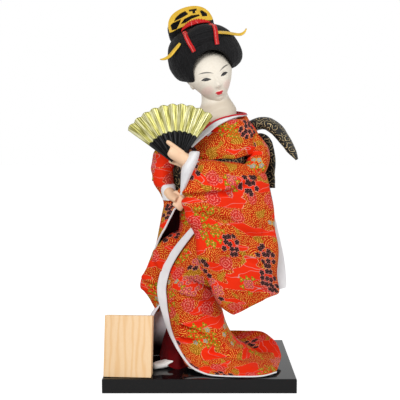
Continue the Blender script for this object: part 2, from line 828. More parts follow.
def shell_mesh(name, shells, place):
    """One mesh of several shells, each of points and faces."""
    points = []
    faces = []
    for some, joined in shells:
        faces += [tuple(i + len(points) for i in face) for face in joined]
        points += list(some)
    mesh = bpy.data.meshes.new(name)
    mesh.from_pydata(place(np.array(points)) * MM, [], faces)
    face_out(mesh)
    return mesh


def applied(made):
    """The object with its modifiers worked into its mesh."""
    graph = bpy.context.evaluated_depsgraph_get()
    graph.update()
    old = made.data
    made.data = bpy.data.meshes.new_from_object(made.evaluated_get(graph))
    made.data.name = old.name
    made.modifiers.clear()
    bpy.data.meshes.remove(old)
    made.data.shade_smooth()


def fused(name, shells, finish, slot, node, body, place, voxel, rounds, cutter=None):
    """Shells melted into one smooth form: a voxel remesh, then a few rounds of smoothing."""
    made = link(name, shell_mesh(name, shells, place), finish, slot, node, body)
    if cutter:
        cut = made.modifiers.new("opening", "BOOLEAN")
        cut.operation = "DIFFERENCE"
        cut.object = cutter
    melt = made.modifiers.new("melt", "REMESH")
    melt.mode = "VOXEL"
    melt.voxel_size = voxel * MM
    relax = made.modifiers.new("relax", "SMOOTH")
    relax.iterations = rounds
    relax.factor = 0.5
    applied(made)
    if cutter:
        bpy.data.objects.remove(cutter)
    return made


def keep_place(made, places, name):
    """Stores one vector for each point, for a finish to read."""
    layer = made.data.attributes.new(name, "FLOAT_VECTOR", "POINT")
    layer.data.foreach_set("vector", np.asarray(places, np.float32).ravel())


print("helpers ready")

# %% [markdown]
# ## Plinth and plaque
# The plinth's solid already has its eased edges, so it keeps its shape and only takes the lacquer.
# The plaque is a plain block leaning back. It could be built from its sizes again, but its place is
# read from the solid, and its arrises are broken with a small bevel, as a planed block has. Its face
# stays bare.

# %% Plinth and plaque
PLAQUE_ARRIS = 0.5
SAME_PLANE = 0.01


def repaint(node, finish):
    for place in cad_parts[node].material_slots:
        place.material = finish


def plaque():
    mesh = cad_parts["name_plaque"].data.copy()
    mesh.materials.clear()
    form = bmesh.new()
    form.from_mesh(mesh)
    bmesh.ops.remove_doubles(form, verts=form.verts, dist=MERGE)
    bmesh.ops.dissolve_limit(form, angle_limit=SAME_PLANE, verts=form.verts, edges=form.edges)
    form.to_mesh(mesh)
    form.free()
    made = link("plaque_block", mesh, PALE_WOOD, "pale_wood", "name_plaque")
    arris = made.modifiers.new("arris", "BEVEL")
    arris.width = PLAQUE_ARRIS * MM
    arris.segments = 3
    arris.harden_normals = True


repaint("base_plinth", LACQUER)
plaque()

# %% [markdown]
# ## Core, rods and wires
# Under the clothes there is a wound straw core with two rods to the plinth, a dowel for the head
# and soft wire in the arms. They hardly show, so the wires and the dowel keep their solids. The
# straw of the core could be modelled strand by strand, but a spiral of low ridges round a loft is
# enough under the clothes.

# %% Core, rods and wires
CORE = [
    (22, -2, -4, 10, 9), (60, 0, -3, 11, 10), (110, 12, -1, 14, 12), (140, 14, 0, 16, 12),
    (160, 13, 0, 16, 12), (175, 14, 0, 17, 11), (184, 14, 0, 14, 9), (188, 14, 0, 8, 7),
]
WINDINGS = 46
WINDING_RISE = 0.02
STRAW = satin("stuffing", rgb(214, 198, 158), rgb(188, 168, 120), 0.8)

for rod in ("leg_rod_left", "leg_rod_right", "arm_wire_left", "arm_wire_right"):
    repaint(rod, STEEL)
repaint("neck_dowel", DOWEL_WOOD)


def winding(angle, share):
    return WINDING_RISE * np.cos(2 * math.pi * WINDINGS * share + angle)


core_grid = level_loops(CORE, 40, 240, winding)
core = cloth("wound_core", core_grid, STRAW, "stuffing", "body_core", thick=1)
print("core wound with", WINDINGS, "turns")

# %% [markdown]
# ## Skirt and train
# The skirt is one piece of brocade, narrow at the knee and spread to one side in a train that lies
# on the plinth like a shallow dish, its back rim raised and rolled in. A loft through twelve stations
# gives the sweep. Long folds are waves round each loop that deepen towards the hem, and short sharp
# creases are pressed in at the knee and where the train turns. The flat map is taken before the
# creases, so that they don't shear the pattern.

# %% Skirt and train
SKIRT = [
    (131.4, 13, 0, 30.5, 23), (121, 14, 0, 30.5, 24), (110, 14, 0, 30.5, 24.5),
    (88, 8, -1, 31, 24.5), (67, -3, -2, 25.5, 23.5), (54, -6.5, -3, 22.5, 22),
    (40, -4.2, -3, 23.7, 21.5), (26, 0, -4, 25, 22), (15, 6.5, -6, 26.5, 26),
    (8.2, 14.5, -8, 30, 32, 0, 0, 0.03), (5.6, 21.5, -8.6, 34.5, 38, 0, 0, 0.05),
    (7.2, 29, -9, 39, 43, 0, 0, 0.15),
]
HEM_SQUARE = 0.7
SKIRT_CREASES = [
    (-6, 71, 10, 63, 5, 1.1), (-16, 35, -6, 31, 4.2, 0.9), (-15, 24, -5, 22, 4.2, 0.9),
    (12, 62, 22, 44, 2.4, 1.8), (-14, 58, 6, 52, 1.2, 1.6), (2, 26, 20, 15, 2, 1.6),
    (10, 14, 40, 9, 2.8, 1.4),
]


def skirt_fold(angle, share):
    return 0.016 * share ** 3 * np.sin(7 * angle + 1.2) + 0.03 * share * np.sin(4 * angle + 6 * share)


def skirt_square(share):
    return 2 + HEM_SQUARE * share ** 2


TRAIN_MIDDLE = (29, -9)
TRAIN_TURN = 50
TRAIN_PART = 0.75
RIM_RISE = 3.6
RIM_ROLL = 6.5
HOLLOW = 4.8


def train_curl(grid):
    """The train's back rim raised and rolled in, with a hollow before it."""
    share = np.linspace(0, 1, grid.shape[0])[:, None]
    turn = np.arctan2(grid[..., 1] - TRAIN_MIDDLE[1], grid[..., 0] - TRAIN_MIDDLE[0])
    part = np.exp(-((turn - math.radians(TRAIN_TURN)) / TRAIN_PART) ** 2)
    rim = part * np.clip((share - 0.9) / 0.08, 0, 1)
    roll = RIM_ROLL * part * np.clip((share - 0.95) / 0.05, 0, 1)
    hollow = part * np.exp(-((share - 0.89) / 0.045) ** 2)
    moved = grid.copy()
    moved[..., 0] -= roll * np.cos(turn)
    moved[..., 1] -= roll * np.sin(turn)
    moved[..., 2] += RIM_RISE * rim - HOLLOW * hollow
    return moved


skirt_form = level_loops(SKIRT, 180, 200, skirt_fold, skirt_square)
skirt_swells = wrinkles(skirt_form, 15, 0.9, (1, 1, 0.5)) + creases(skirt_form, SKIRT_CREASES)
skirt_grid = train_curl(pushed(skirt_form, skirt_swells))
skirt = cloth("skirt_cloth", skirt_grid, [BROCADE, WHITE_SATIN], "brocade_red", "skirt",
              inner=True, start=(0.31, 0.4), laid=skirt_form)
print("skirt loops:", skirt_grid.shape[0])

# %% [markdown]
# ## Edging
# Along the skirt's open front edge the white lining is turned out as a band, which tapers and runs
# on round the hem as a thin piping. It could be cut out of the skirt's own mesh, but a flat tube
# along places read off the skirt's stations stands up from the cloth, as the turned lining does.

# %% Edging
EDGING = [
    (0.17, 236, 2.6), (0.21, 226, 3), (0.255, 214, 3.4), (0.31, 204, 3.8), (0.38, 203, 4),
    (0.46, 206, 3.7), (0.54, 209, 2.7), (0.63, 212, 1.8), (0.72, 216, 1.3), (0.81, 221, 0.9),
    (0.91, 226, 0.8), (1, 235, 0.7), (1, 252, 0.6), (1, 272, 0.6), (1, 292, 0.6), (1, 314, 0.6),
]
EDGING_THICKNESS = 1.6
EDGING_OUT = (-0.35, -1, 0.3)
EDGING_STEPS = 200
CLOTH_GAP = 0.4
HEM_GAP = 0.3


def skirt_point(share, degrees, grow):
    """A place on the skirt, a little outside it."""
    row = smooth_rows(stations(SKIRT), EDGING_STEPS + 1)[round(share * EDGING_STEPS)]
    z, x, y, wide, deep, _, _, slope = row
    angle = math.radians(degrees)
    swell = 1 + skirt_fold(angle, share)
    n = skirt_square(share)
    dx = (wide + grow) * swell * rounded(math.cos(angle), n)
    dy = (deep + grow) * swell * rounded(math.sin(angle), n)
    return x + dx, y + dy, z + slope * dy


def edging_rows():
    thick = EDGING_THICKNESS / 2
    rows = []
    for share, degrees, wide in EDGING:
        x, y, z = skirt_point(share, degrees, wide * 0.9 + CLOTH_GAP)
        rows.append((x, y, max(z, thick + HEM_GAP), wide, min(thick, wide)))
    return rows


edging_grid = path_loops(edging_rows(), 24, 160, EDGING_OUT, square=2.6)
edging = cloth("white_edging", edging_grid, WHITE_SATIN, "lining_white", "skirt_edging", thick=0)
cut_from(skirt_grid)
print("edging loops:", edging_grid.shape[0])

# %% [markdown]
# ## Under robe and underskirt
# Beside the edging the under robe hangs open from the knee to the plinth, white above and dyed deep
# red below, and a red underskirt stands over the foot. Both could be cut from the skirt's loft, but
# they hang away from it, so they are lofts of their own with slow folds: the robe is an open strip,
# and the underskirt's slanting hem is held just above the plinth.

# %% Under robe and underskirt
UNDER_ROBE = [
    (66, -20, -2, 6, 5), (48, -20, -2, 14, 8), (36, -20, -1, 21.5, 10), (20, -20, -1, 25.5, 11),
    (0.15, -20, -1, 27, 11),
]
UNDER_SKIRT = [
    (34, -19, -6, 6, 7), (18, -20, -8, 10, 9.5), (8, -20.5, -11.5, 11.5, 13.5),
    (0.3, -20, -14.5, 12.5, 16.5, 0, -0.48),
]
ROBE_FROM, ROBE_TO = 70, 212


def robe_fold(angle, share):
    return 0.05 * share * np.sin(5 * angle + 1)


def under_fold(angle, share):
    return 0.05 * share * np.sin(9 * angle)


robe_grid = level_loops(UNDER_ROBE, 90, 60, robe_fold, first=ROBE_FROM, last=ROBE_TO)
under_robe = cloth("under_robe_sheet", robe_grid, DYED_LINING, "lining_white", "under_robe")
cut_from(robe_grid)
under_grid = level_loops(UNDER_SKIRT, 96, 50, under_fold)
under_grid[..., 2] = np.maximum(under_grid[..., 2], HEM_GAP)
underskirt = cloth("underskirt_cloth", under_grid, RED_SATIN, "lining_red", "underskirt")
cut_from(under_grid)
print("under robe", round(np.ptp(robe_grid[..., 2]), 1), "mm long")

# %% [markdown]
# ## Tabi
# The white socks have a split toe. A foot could be carved from one block, but the split is easier
# from two forms: each foot is a loft along its own heading, fused from the foot and a separate great
# toe, so that the split shows as a soft groove. Both are cut flat at the sole.

# %% Tabi
FOOT_LENGTH = 24
FOOT_WIDTH = 10.4
FOOT_HEIGHT = 6.4
SOLE_GAP = 0.3
FOOT_ROWS = [
    (0, 0.30, 0.55), (0.12, 0.40, 0.85), (0.3, 0.40, 1), (0.5, 0.46, 0.95), (0.72, 0.52, 0.8),
    (0.9, 0.5, 0.7), (1, 0.36, 0.5),
]
TOE_ROWS = [(0.7, 2.0), (0.86, 2.6), (1.0, 2.6), (1.07, 1.6)]
TOE_ASIDE = 2.7
TOE_MIDDLE = 2.6
TOE_THICK = 2.3
FOOT_MELT = (0.45, 3)
UPWARD = (0, 0, 1)


def on_sole(grid):
    """A closed form of a loft with nothing below the sole."""
    grid[..., 2] = np.maximum(grid[..., 2], SOLE_GAP)
    return closed_shell(grid)


def foot(name, node, heel, heading, side):
    turn = math.radians(heading)
    along = np.array([math.cos(turn), math.sin(turn), 0]) * FOOT_LENGTH
    aside = np.array([-math.sin(turn), math.cos(turn), 0]) * side * TOE_ASIDE
    rows = []
    for share, wide, high in FOOT_ROWS:
        thick = FOOT_HEIGHT * high / 2
        middle = np.array([*heel, SOLE_GAP + thick]) + along * share
        rows.append((*middle, FOOT_WIDTH * wide, thick))
    toe_start = np.array([*heel, TOE_MIDDLE]) + aside
    toe_rows = [(*(toe_start + along * share), wide, TOE_THICK) for share, wide in TOE_ROWS]
    shells = [
        on_sole(path_loops(rows, 24, 30, UPWARD, square=2.5)),
        on_sole(path_loops(toe_rows, 20, 16, UPWARD)),
    ]
    made = fused(name, shells, TABI_COTTON, "tabi_white", node, FIGURE, on_deck, *FOOT_MELT)


foot("left_tabi", "tabi_left", (12, 1), 215, -1)
foot("right_tabi", "tabi_right", (-14, -19.4), 203, 1)
print("feet", FOOT_LENGTH, "mm long")

# %% [markdown]
# ## Obi
# A stiff black sash goes round the waist, and is tied behind in a bow with two drooping wings and
# two tails. A knot could be tied from one strip, but a doll's bow is made up of single pieces too:
# wings, knot and tails are flat padded tubes of cloth along a path, the wings folded to a point.

# %% Obi
OBI_BAND = [
    (132, 11, 0, 31, 24), (144, 10.5, 0, 32, 23.5), (160, 10, -0.5, 31.5, 22.5),
    (173, 12, -1, 28, 21.5),
]
BACKWARD = (0.5, 0.87, 0)
TAIL_LEFT_OUT = (-0.2, 1, 0.3)
KNOT = [
    (27, 24, 152, 7, 4), (28, 28.5, 160, 9, 6), (28.5, 30, 170, 9.5, 7), (29, 28.5, 180, 9, 6),
    (29, 25, 188, 7, 4),
]
WING_RIGHT = [
    (34, 27, 182, 4, 6.5), (41, 25, 190, 4.6, 8), (48, 22.6, 194.4, 5, 8.6),
    (55, 20, 195.4, 5.2, 8.6), (63, 17, 191.4, 5, 8), (70, 14.6, 183, 4.4, 7),
    (76, 12.4, 173.6, 3.2, 5), (81, 11, 165.4, 1, 1.8),
]
WING_LEFT = [
    (22, 33.5, 182, 4.5, 8), (14, 39, 189, 5.8, 11), (4, 45, 192, 7.2, 12.5),
    (-6, 50, 187, 6.2, 11.5), (-13, 54, 178, 5, 9), (-18, 57, 169, 3.2, 6),
    (-20.5, 58.5, 163.4, 1, 2),
]
TAIL_RIGHT = [
    (38, 27, 172, 4, 2), (47, 25, 181, 5, 1.9), (55, 22.6, 180, 5.4, 1.8),
    (58.6, 21, 168, 5.6, 1.7), (58.4, 20, 154, 5.6, 1.7), (58.8, 19.4, 141, 5.6, 1.6),
]
TAIL_LEFT = [
    (22, 34.5, 166, 5, 2.4), (17, 39, 160, 7, 2.2), (14, 41, 145, 8.5, 2), (12, 40, 125, 9, 1.8),
    (10, 38, 100, 9, 1.6),
]


def tail_right_out(point, share):
    return (*BACKWARD[:2], 0.3 * (1 - share))


def padded_piece(name, node, rows, out, square):
    grid = path_loops(rows, 48, 70, out, square)
    made = cloth(name, pushed(grid, wrinkles(grid, 6, 0.35)), OBI, "obi_brocade", node, even=True)


obi_grid = level_loops(OBI_BAND, 140, 40)
sash_grid = pushed(obi_grid, wrinkles(obi_grid, 12, 0.5))
obi = cloth("obi_sash", sash_grid, OBI, "obi_brocade", "obi_band", thick=0.8)
cut_from(obi_grid)
padded_piece("obi_bow_knot", "obi_knot", KNOT, BACKWARD, 2.6)
padded_piece("obi_bow_wing_right", "obi_wing_right", WING_RIGHT, BACKWARD, 2.4)
padded_piece("obi_bow_wing_left", "obi_wing_left", WING_LEFT, BACKWARD, 2.4)
padded_piece("obi_bow_tail_right", "obi_tail_right", TAIL_RIGHT, tail_right_out, 3.0)
padded_piece("obi_bow_tail_left", "obi_tail_left", TAIL_LEFT, TAIL_LEFT_OUT, 3.0)
print("bow reaches", WING_RIGHT[-1][:3])

# %% [markdown]
# ## Bodice and collar
# The bodice is wrapped over the chest and pouches a little above the sash, with its lower edge
# turned in. Two crossed fronts could be laid over one another, but sleeve and fan hide the crossing,
# so one loft with soft diagonal folds does for both. The collar is a white band that lies on the
# bodice's slope and tapers where the fronts cross, with a thin red edge on the neck's side.

# %% Bodice and collar
BODICE = [
    (171, 15, -1.5, 27, 21.5, 0, 0.08, 0.05), (168.6, 15, -2.3, 29, 24, 0, 0.08, 0.05),
    (171, 15.3, -2.5, 30.4, 25, 0, 0.07, 0.06), (177, 16, -2.5, 31, 25, 0, 0.06, 0.08),
    (187, 17, -1, 29.5, 23, 0, 0.04, 0.12), (194.4, 16.5, 0.6, 26.5, 20.6, 0, 0.03, 0.18),
    (199.6, 16, 1.2, 24, 19.6, 0, 0.03, 0.22), (201, 15.6, 1.2, 21.6, 17.4, 0, 0.03, 0.22),
]
COLLAR_WIDTH = 4.6
COLLAR_THICKNESS = 1.8
COLLAR_EDGE = 0.7
EDGE_GAP = 0.3
COLLAR_TAPER = [1, 1, 0.9, 0.4, 0.1, 0.15, 0.5, 0.8, 0.8, 0.7, 0.8, 1, 1]
COLLAR_PATH = [
    (-7, -29, 178), (3, -27, 187), (14, -21.6, 195.4), (26, -13.6, 200), (36, -3, 201.6),
    (38.6, 8, 202.2), (31, 18, 203), (15, 22.4, 203.4), (0, 18, 203), (-7, 6, 201.6),
    (-5.4, -8, 198), (1, -18.6, 193), (8, -25.6, 187),
]
COLLAR_LOOPS = 180
NECK_MIDDLE = (14, 1)
COLLAR_SLOPE = 16


def from_neck(point, share):
    return unit(np.array([*(point[:2] - NECK_MIDDLE), COLLAR_SLOPE]))


bodice_grid = level_loops(BODICE, 150, 80)
diagonal = np.sin((bodice_grid[..., 0] * 0.55 + bodice_grid[..., 2]) * 0.42) * 0.55
bodice_grid = pushed(bodice_grid, diagonal + wrinkles(bodice_grid, 9, 0.8))
bodice = cloth("bodice_cloth", bodice_grid, BROCADE, "brocade_red", "bodice", start=(0.06, 0.17))

collar_half = COLLAR_WIDTH / 2 * np.array(COLLAR_TAPER)
collar_rows = [(*p, half, COLLAR_THICKNESS / 2) for p, half in zip(COLLAR_PATH, collar_half)]
collar_grid = path_loops(collar_rows, 28, COLLAR_LOOPS, from_neck, 3.0)
collar = cloth("white_collar", collar_grid, WHITE_SATIN, "lining_white", "collar", thick=0)

edge_rows = [(*p, COLLAR_EDGE, COLLAR_EDGE) for p in COLLAR_PATH]
run = np.linspace(0, len(collar_half) - 1, COLLAR_LOOPS)
aside = -np.interp(run, range(len(collar_half)), collar_half) - COLLAR_EDGE - EDGE_GAP
edge_grid = path_loops(edge_rows, 16, COLLAR_LOOPS, from_neck, aside=aside[:, None])
collar_edge = cloth("red_collar_edge", edge_grid, COLLAR_RED, "lining_red", "collar_edge", thick=0)
cut_from(bodice_grid)
print("collar", COLLAR_WIDTH, "mm wide")

# %% [markdown]
# ## Left sleeve
# The left sleeve is the large hanging panel that fills the front: a flat bag below the forearm, with
# a crease where the arm's fullness ends and slow diagonal drapes. The upper arm is a tube that goes
# into it, with folds on the inner side of the elbow. One loft could not turn from tube to bag without
# shearing the pattern, so they are two sheets, and the bag hides where they meet.

# %% Left sleeve
SLEEVE_TURN = 24
SLEEVE_LEFT = [
    (z, x, y, wide, thick, SLEEVE_TURN, slope) for z, x, y, wide, thick, slope in (
        (165.4, 21, -25.5, 28, 2, -0.14), (164, 21, -25.5, 31.4, 6, -0.14),
        (159.4, 20, -26, 35, 9.8, -0.12), (150, 20.5, -26, 37, 11.5, -0.05),
        (137, 21.6, -26, 38.4, 11, 0), (123, 25.2, -26, 37.6, 10, 0),
        (110, 29, -25, 35.4, 9, 0), (96, 31, -25, 34.6, 8.2, 0.02), (80, 34.2, -24.5, 32.2, 7, 0.06),
        (65, 37.3, -24, 29.2, 5.4, 0.16), (52, 44, -22, 22, 3, 0.36), (50.6, 44, -22, 18, 1, 0.36),
    )
]
UPPER_LEFT = [
    (26, 1, 185, 9, 9.5), (37, 0, 181.6, 11, 11.5), (45, -3.4, 173, 10.6, 11.5),
    (46.6, -9, 165, 9.6, 10.6), (43.5, -14.6, 159, 8.4, 9), (36, -18.6, 156, 7, 7),
    (27, -22.6, 154, 5, 5),
]
BAG_CREASES = [
    (-13, 139.5, 20, 142, 3.4, 2.0), (20, 142, 46, 150, 2.2, 2.2), (40, 158, 54, 150, 1.2, 1.6),
    (-8, 128, 22, 120, 1.2, 2.6), (20, 118, 60, 96, 1.2, 3.2), (34, 90, 64, 72, 1.0, 2.8),
]
ARM_OUT = (0, -1, 0.2)
FOREARM = 160
DRAPE = 0.9
ELBOW_FOLD = 1.6


def bag_fold(angle, share):
    return 0.03 * np.sin(5 * angle + 9 * share) * share


def drapes(grid):
    """Slow diagonal folds that fade in below the forearm."""
    fade = np.clip((FOREARM - grid[..., 2]) / 50, 0, 1)
    return DRAPE * np.sin((grid[..., 0] * 0.9 - grid[..., 2]) * 0.13) * fade


def elbow_folds(grid):
    """Folds that gather on the inner side of the bent elbow."""
    share = np.linspace(0, 1, grid.shape[0])[:, None]
    turn = np.linspace(-math.pi, math.pi, grid.shape[1])[None, :]
    inner = np.exp(-((np.abs(turn) - math.pi) / 1.3) ** 2)
    bend = np.exp(-((share - 0.45) / 0.2) ** 2)
    return -ELBOW_FOLD * inner * bend * (1 + np.cos(12 * math.pi * share))


bag_form = level_loops(SLEEVE_LEFT, 200, 190, bag_fold, 2.7)
bag_swells = drapes(bag_form) + wrinkles(bag_form, 13, 0.8, (1, 1, 0.6))
bag_grid = pushed(bag_form, bag_swells + creases(bag_form, BAG_CREASES))
sleeve_left = cloth("left_sleeve_bag", bag_grid, BROCADE, "brocade_red", "sleeve_left",
                    start=(0.12, 0.62), laid=bag_form)
cut_from(bag_grid)

upper_grid = path_loops(UPPER_LEFT, 90, 90, ARM_OUT)
upper_grid = pushed(upper_grid, wrinkles(upper_grid, 8, 1.0, (1, 1, 0.4)) + elbow_folds(upper_grid))
upper_left = cloth("left_upper_sleeve", upper_grid, BROCADE, "brocade_red",
                   start=(0.22, 0.9), even=True)
cut_from(upper_grid)
print("left sleeve hangs from", SLEEVE_LEFT[0][0], "to", SLEEVE_LEFT[-1][0], "mm above the deck")

# %% [markdown]
# ## Right sleeve
# The right sleeve hugs the arm, and below the wrist its front is open: a dark lining shows, and a
# white piping follows the edge. The opening could be cut out of a tube, but its edge would be ragged.
# Loops that stop short leave it open from the start, and the piping runs along their ends.

# %% Right sleeve
SLEEVE_RIGHT = [
    (160, -30, -8.5, 8.2, 9), (148, -28.6, -10, 8.4, 10.2), (139, -24.6, -10.4, 6.8, 8.6),
    (131, -21.4, -10.4, 7.4, 8.8), (122, -21.6, -9.6, 8.8, 9.2), (112, -23, -8.6, 9.6, 9.2),
    (102, -24.6, -7.6, 9.8, 9), (93, -26, -6.6, 10.4, 8.6),
]
OPEN_EDGE = [
    (160, 360), (140, 360), (133, 330), (127, 278), (119, 256), (111, 240), (104, 222), (96, 196),
    (93, 190),
]
ARMHOLE_RIGHT = [
    (0, 0, 181, 8, 9), (-12, 0, 180, 9.5, 10), (-25, -3, 172, 10, 10), (-30, -7, 160, 9, 9),
    (-29.5, -9, 150, 8.5, 9),
]
PIPING_FROM = 44
PIPING_HALF, PIPING_THICK = 0.8, 0.6
FRONTWARD = (0, -1, 0)


def open_edge(share):
    """How far round the right sleeve's cloth goes: below the wrist its front is open."""
    places = np.linspace(0, 1, len(SLEEVE_RIGHT))
    height = np.interp(share.ravel(), places, [row[0] for row in SLEEVE_RIGHT])
    heights, turns = np.array(OPEN_EDGE[::-1]).T
    return np.interp(height, heights, turns)[:, None]


right_grid = level_loops(SLEEVE_RIGHT, 120, 130, first=0, last=open_edge)
right_grid = pushed(right_grid, wrinkles(right_grid, 9, 0.7, (1, 1, 0.5)))
sleeve_right = cloth("right_sleeve_bag", right_grid, [BROCADE, DARK_LINING], "brocade_red",
                     "sleeve_right", inner=True, start=(0.42, 0.2))
piping_rows = [(*p, PIPING_HALF, PIPING_THICK) for p in right_grid[PIPING_FROM:, -1]]
piping_grid = path_loops(piping_rows, 14, 90, FRONTWARD)
piping = cloth("right_sleeve_piping", piping_grid, WHITE_SATIN, "lining_white", thick=0)
cut_from(right_grid)

upper_grid = path_loops(ARMHOLE_RIGHT, 80, 60, ARM_OUT)
upper_grid = pushed(upper_grid, wrinkles(upper_grid, 7, 1.0))
upper_right = cloth("right_upper_sleeve", upper_grid, BROCADE, "brocade_red",
                    start=(0.553, 0.384), even=True)
cut_from(upper_grid)
print("right sleeve is open below", OPEN_EDGE[1][0], "mm above the deck")

# %% [markdown]
# ## Front panel
# Below the right sleeve the kimono's right front hangs to a point. It could be part of the skirt, but
# it hangs clear of it, so it is a flat closed loft with two creases.

# %% Front panel
FRONT_PANEL = [
    (108, -14, -4, 5, 3), (104, -18.4, -6, 8.6, 6.4), (97, -24, -6.4, 10.6, 8.2),
    (88, -27.4, -5, 11.8, 8.8), (76, -31.6, -2.6, 12.6, 8.4), (66, -35.2, -1.2, 13, 8.2),
    (60, -36, -0.8, 12.6, 8), (57.4, -35.4, -0.8, 11, 7.6), (51, -34.6, -0.8, 6.8, 6.4),
    (45, -34.4, -0.8, 3.6, 4), (40, -34.4, -0.8, 1.4, 2),
]
PANEL_CREASES = [(-38, 84, -30, 66, 1.4, 1.6), (-46, 66, -34, 62, 1.0, 1.4)]

panel_grid = level_loops(FRONT_PANEL, 120, 110, bag_fold, 2.3)
panel_swells = wrinkles(panel_grid, 9, 0.8, (1, 1, 0.5)) + creases(panel_grid, PANEL_CREASES)
panel_grid = pushed(panel_grid, panel_swells)
front_panel = cloth("right_front_panel", panel_grid, BROCADE, "brocade_red", start=(0.47, 0.5))
cut_from(panel_grid)
print("front panel hangs to", FRONT_PANEL[-1][0], "mm above the deck")

# %% [markdown]
# ## Sleeve lining
# Behind the left bag's outer edge a strip of its white lining shows, folded double. The whole bag
# could be lined, but a thin flat loft that widens downwards is all that can be seen of it.

# %% Sleeve lining
LINING_LEFT = [
    (z, x, y, wide, 0.8, SLEEVE_TURN, 0.2) for z, x, y, wide in (
        (134, 56, -8, 2), (110, 58.5, -7, 5.6), (85, 61.5, -6, 8.6),
        (66, 63, -5.5, 9.4), (59, 64, -5.4, 8.4),
    )
]

lining_grid = level_loops(LINING_LEFT, 60, 60, square=3.0)
lining = cloth("left_sleeve_lining", lining_grid, WHITE_SATIN, "lining_white",
               "sleeve_lining_left", thick=0)
cut_from(lining_grid, folded=True)
print("lining hangs to", LINING_LEFT[-1][0], "mm above the deck")

# %% [markdown]
# ## Cuffs
# White inner sleeves hang out at both wrists: the left one to a long point, the right one as a short
# ring. They could be tubes round the arm, but they hang level, so they are lofts with a few folds.

# %% Cuffs
CUFF_LEFT = [
    (174.4, -3.6, -43.4, 2.2, 3.2), (173.6, -3.6, -43.4, 3.8, 6), (167, -6.4, -44.8, 5, 8.3),
    (160, -9.2, -45, 4.8, 8.4), (150, -11.6, -44, 2.8, 6), (141, -14, -43, 0.9, 2),
]
CUFF_RIGHT = [
    (147.4, -25.6, -15, 3.4, 3.2), (146.6, -25.4, -15.4, 6, 5.8), (142, -24.8, -16.4, 6.2, 6.2),
    (137.4, -24.4, -17, 5.4, 5.6), (134.6, -24.4, -17, 4.8, 5.2),
]


def cuff_fold(angle, share):
    return 0.05 * np.sin(4 * angle + 7 * share) * share


def cuff(name, node, rows):
    grid = level_loops(rows, 64, 60, cuff_fold)
    made = cloth(name, grid, WHITE_SATIN, "lining_white", node)
    cut_from(grid)


cuff("left_white_cuff", "cuff_left", CUFF_LEFT)
cuff("right_white_cuff", "cuff_right", CUFF_RIGHT)
print("left cuff hangs to", CUFF_LEFT[-1][0], "mm above the deck")

# %% [markdown]
# ## Hands
# The hands are moulded in one piece, with the fingers closed. They could be sculpted, but palm, thumb
# and fingers are simple tubes: they are lofted apart, then melted together and smoothed, which is
# what a soft mould does to the grooves between fingers. The left hand holds the fan in between.

# %% Skin


def flesh():
    r = Recipe("hand_flesh")
    place = r.own_place()
    cloud = r.noise(place, 0.006, 2.0, flat=False)
    grain = r.noise(place, 0.0007, 2.0, flat=False)
    return r.finish({
        "Base Color": r.mix(cloud, rgb(230, 184, 145), rgb(242, 208, 175)),
        "Roughness": grain * 0.15 + 0.42,
        "Normal": r.bump(grain, 0.00008, 0.4),
    })


FLESH = flesh()
print("skin nodes:", len(FLESH.node_tree.nodes))

# %% Hands
WRIST_LEFT = np.array([-10, -45, 167.4])
ELBOW_LEFT = np.array([45, -12, 158])
WRIST_RIGHT = np.array([-24, -20, 140.5])
ELBOW_RIGHT = np.array([-31, -4, 156])
WRIST_RADIUS = 4.6
WRIST_OUT = (0, -1, 0.1)
FINGER_RADIUS = 1.9
FINGER_TAPER = 0.08
FINGER_OUT = (0.1, -1, 0.2)
FINGERS = 4
HAND_MELT = (0.45, 5)


def rod_of(points, radius, end=0.5):
    """A finger: a tapered tube through points, rounded off at its tip."""
    points = np.array(points, float)
    thick = [radius * (1 - FINGER_TAPER * i) for i in range(len(points))] + [radius * end]
    tip = points[-1] + unit(points[-1] - points[-2]) * radius * 0.8
    rows = [(*p, t, t) for p, t in zip([*points, tip], thick)]
    return closed_shell(path_loops(rows, 16, 24, FINGER_OUT))


def wrist_shell(elbow, wrist, front):
    along = unit(wrist - elbow)
    ends = [wrist + along * reach for reach in (-5, -2.5, 0, front)]
    rows = [(*p, WRIST_RADIUS, WRIST_RADIUS) for p in ends]
    return closed_shell(path_loops(rows, 24, 12, WRIST_OUT))


def left_hand():
    palm = path_loops([
        (-9, -45, 167, 5.0, 4.4), (-12.5, -46.4, 169, 5.2, 4.6), (-17, -48.2, 171.8, 4.9, 4.2),
        (-20.6, -49.2, 174, 4.4, 3.6), (-23, -49.2, 175.2, 3.2, 2.8),
    ], 28, 24, FRONTWARD)
    back = path_loops([
        (-10, -44.4, 167.4, 4.2, 4), (-12.5, -43, 168, 5.6, 3.6), (-15, -41.4, 169, 5.6, 2.6),
    ], 24, 10, FRONTWARD)
    thumb = [(-12.5, -47.4, 173), (-16.5, -49.6, 176.2), (-20.4, -50, 179.2), (-23.4, -49.6, 181.4)]
    shells = [closed_shell(palm), closed_shell(back), wrist_shell(ELBOW_LEFT, WRIST_LEFT, 2)]
    shells.append(rod_of(thumb, 2.2, 0.4))
    for i in range(FINGERS):
        rise = 3 * i
        finger = [(-13, -42, 163.4 + rise), (-17, -40.6, 165 + rise), (-22, -40.2, 166.6 + rise)]
        shells.append(rod_of(finger, FINGER_RADIUS))
    return shells


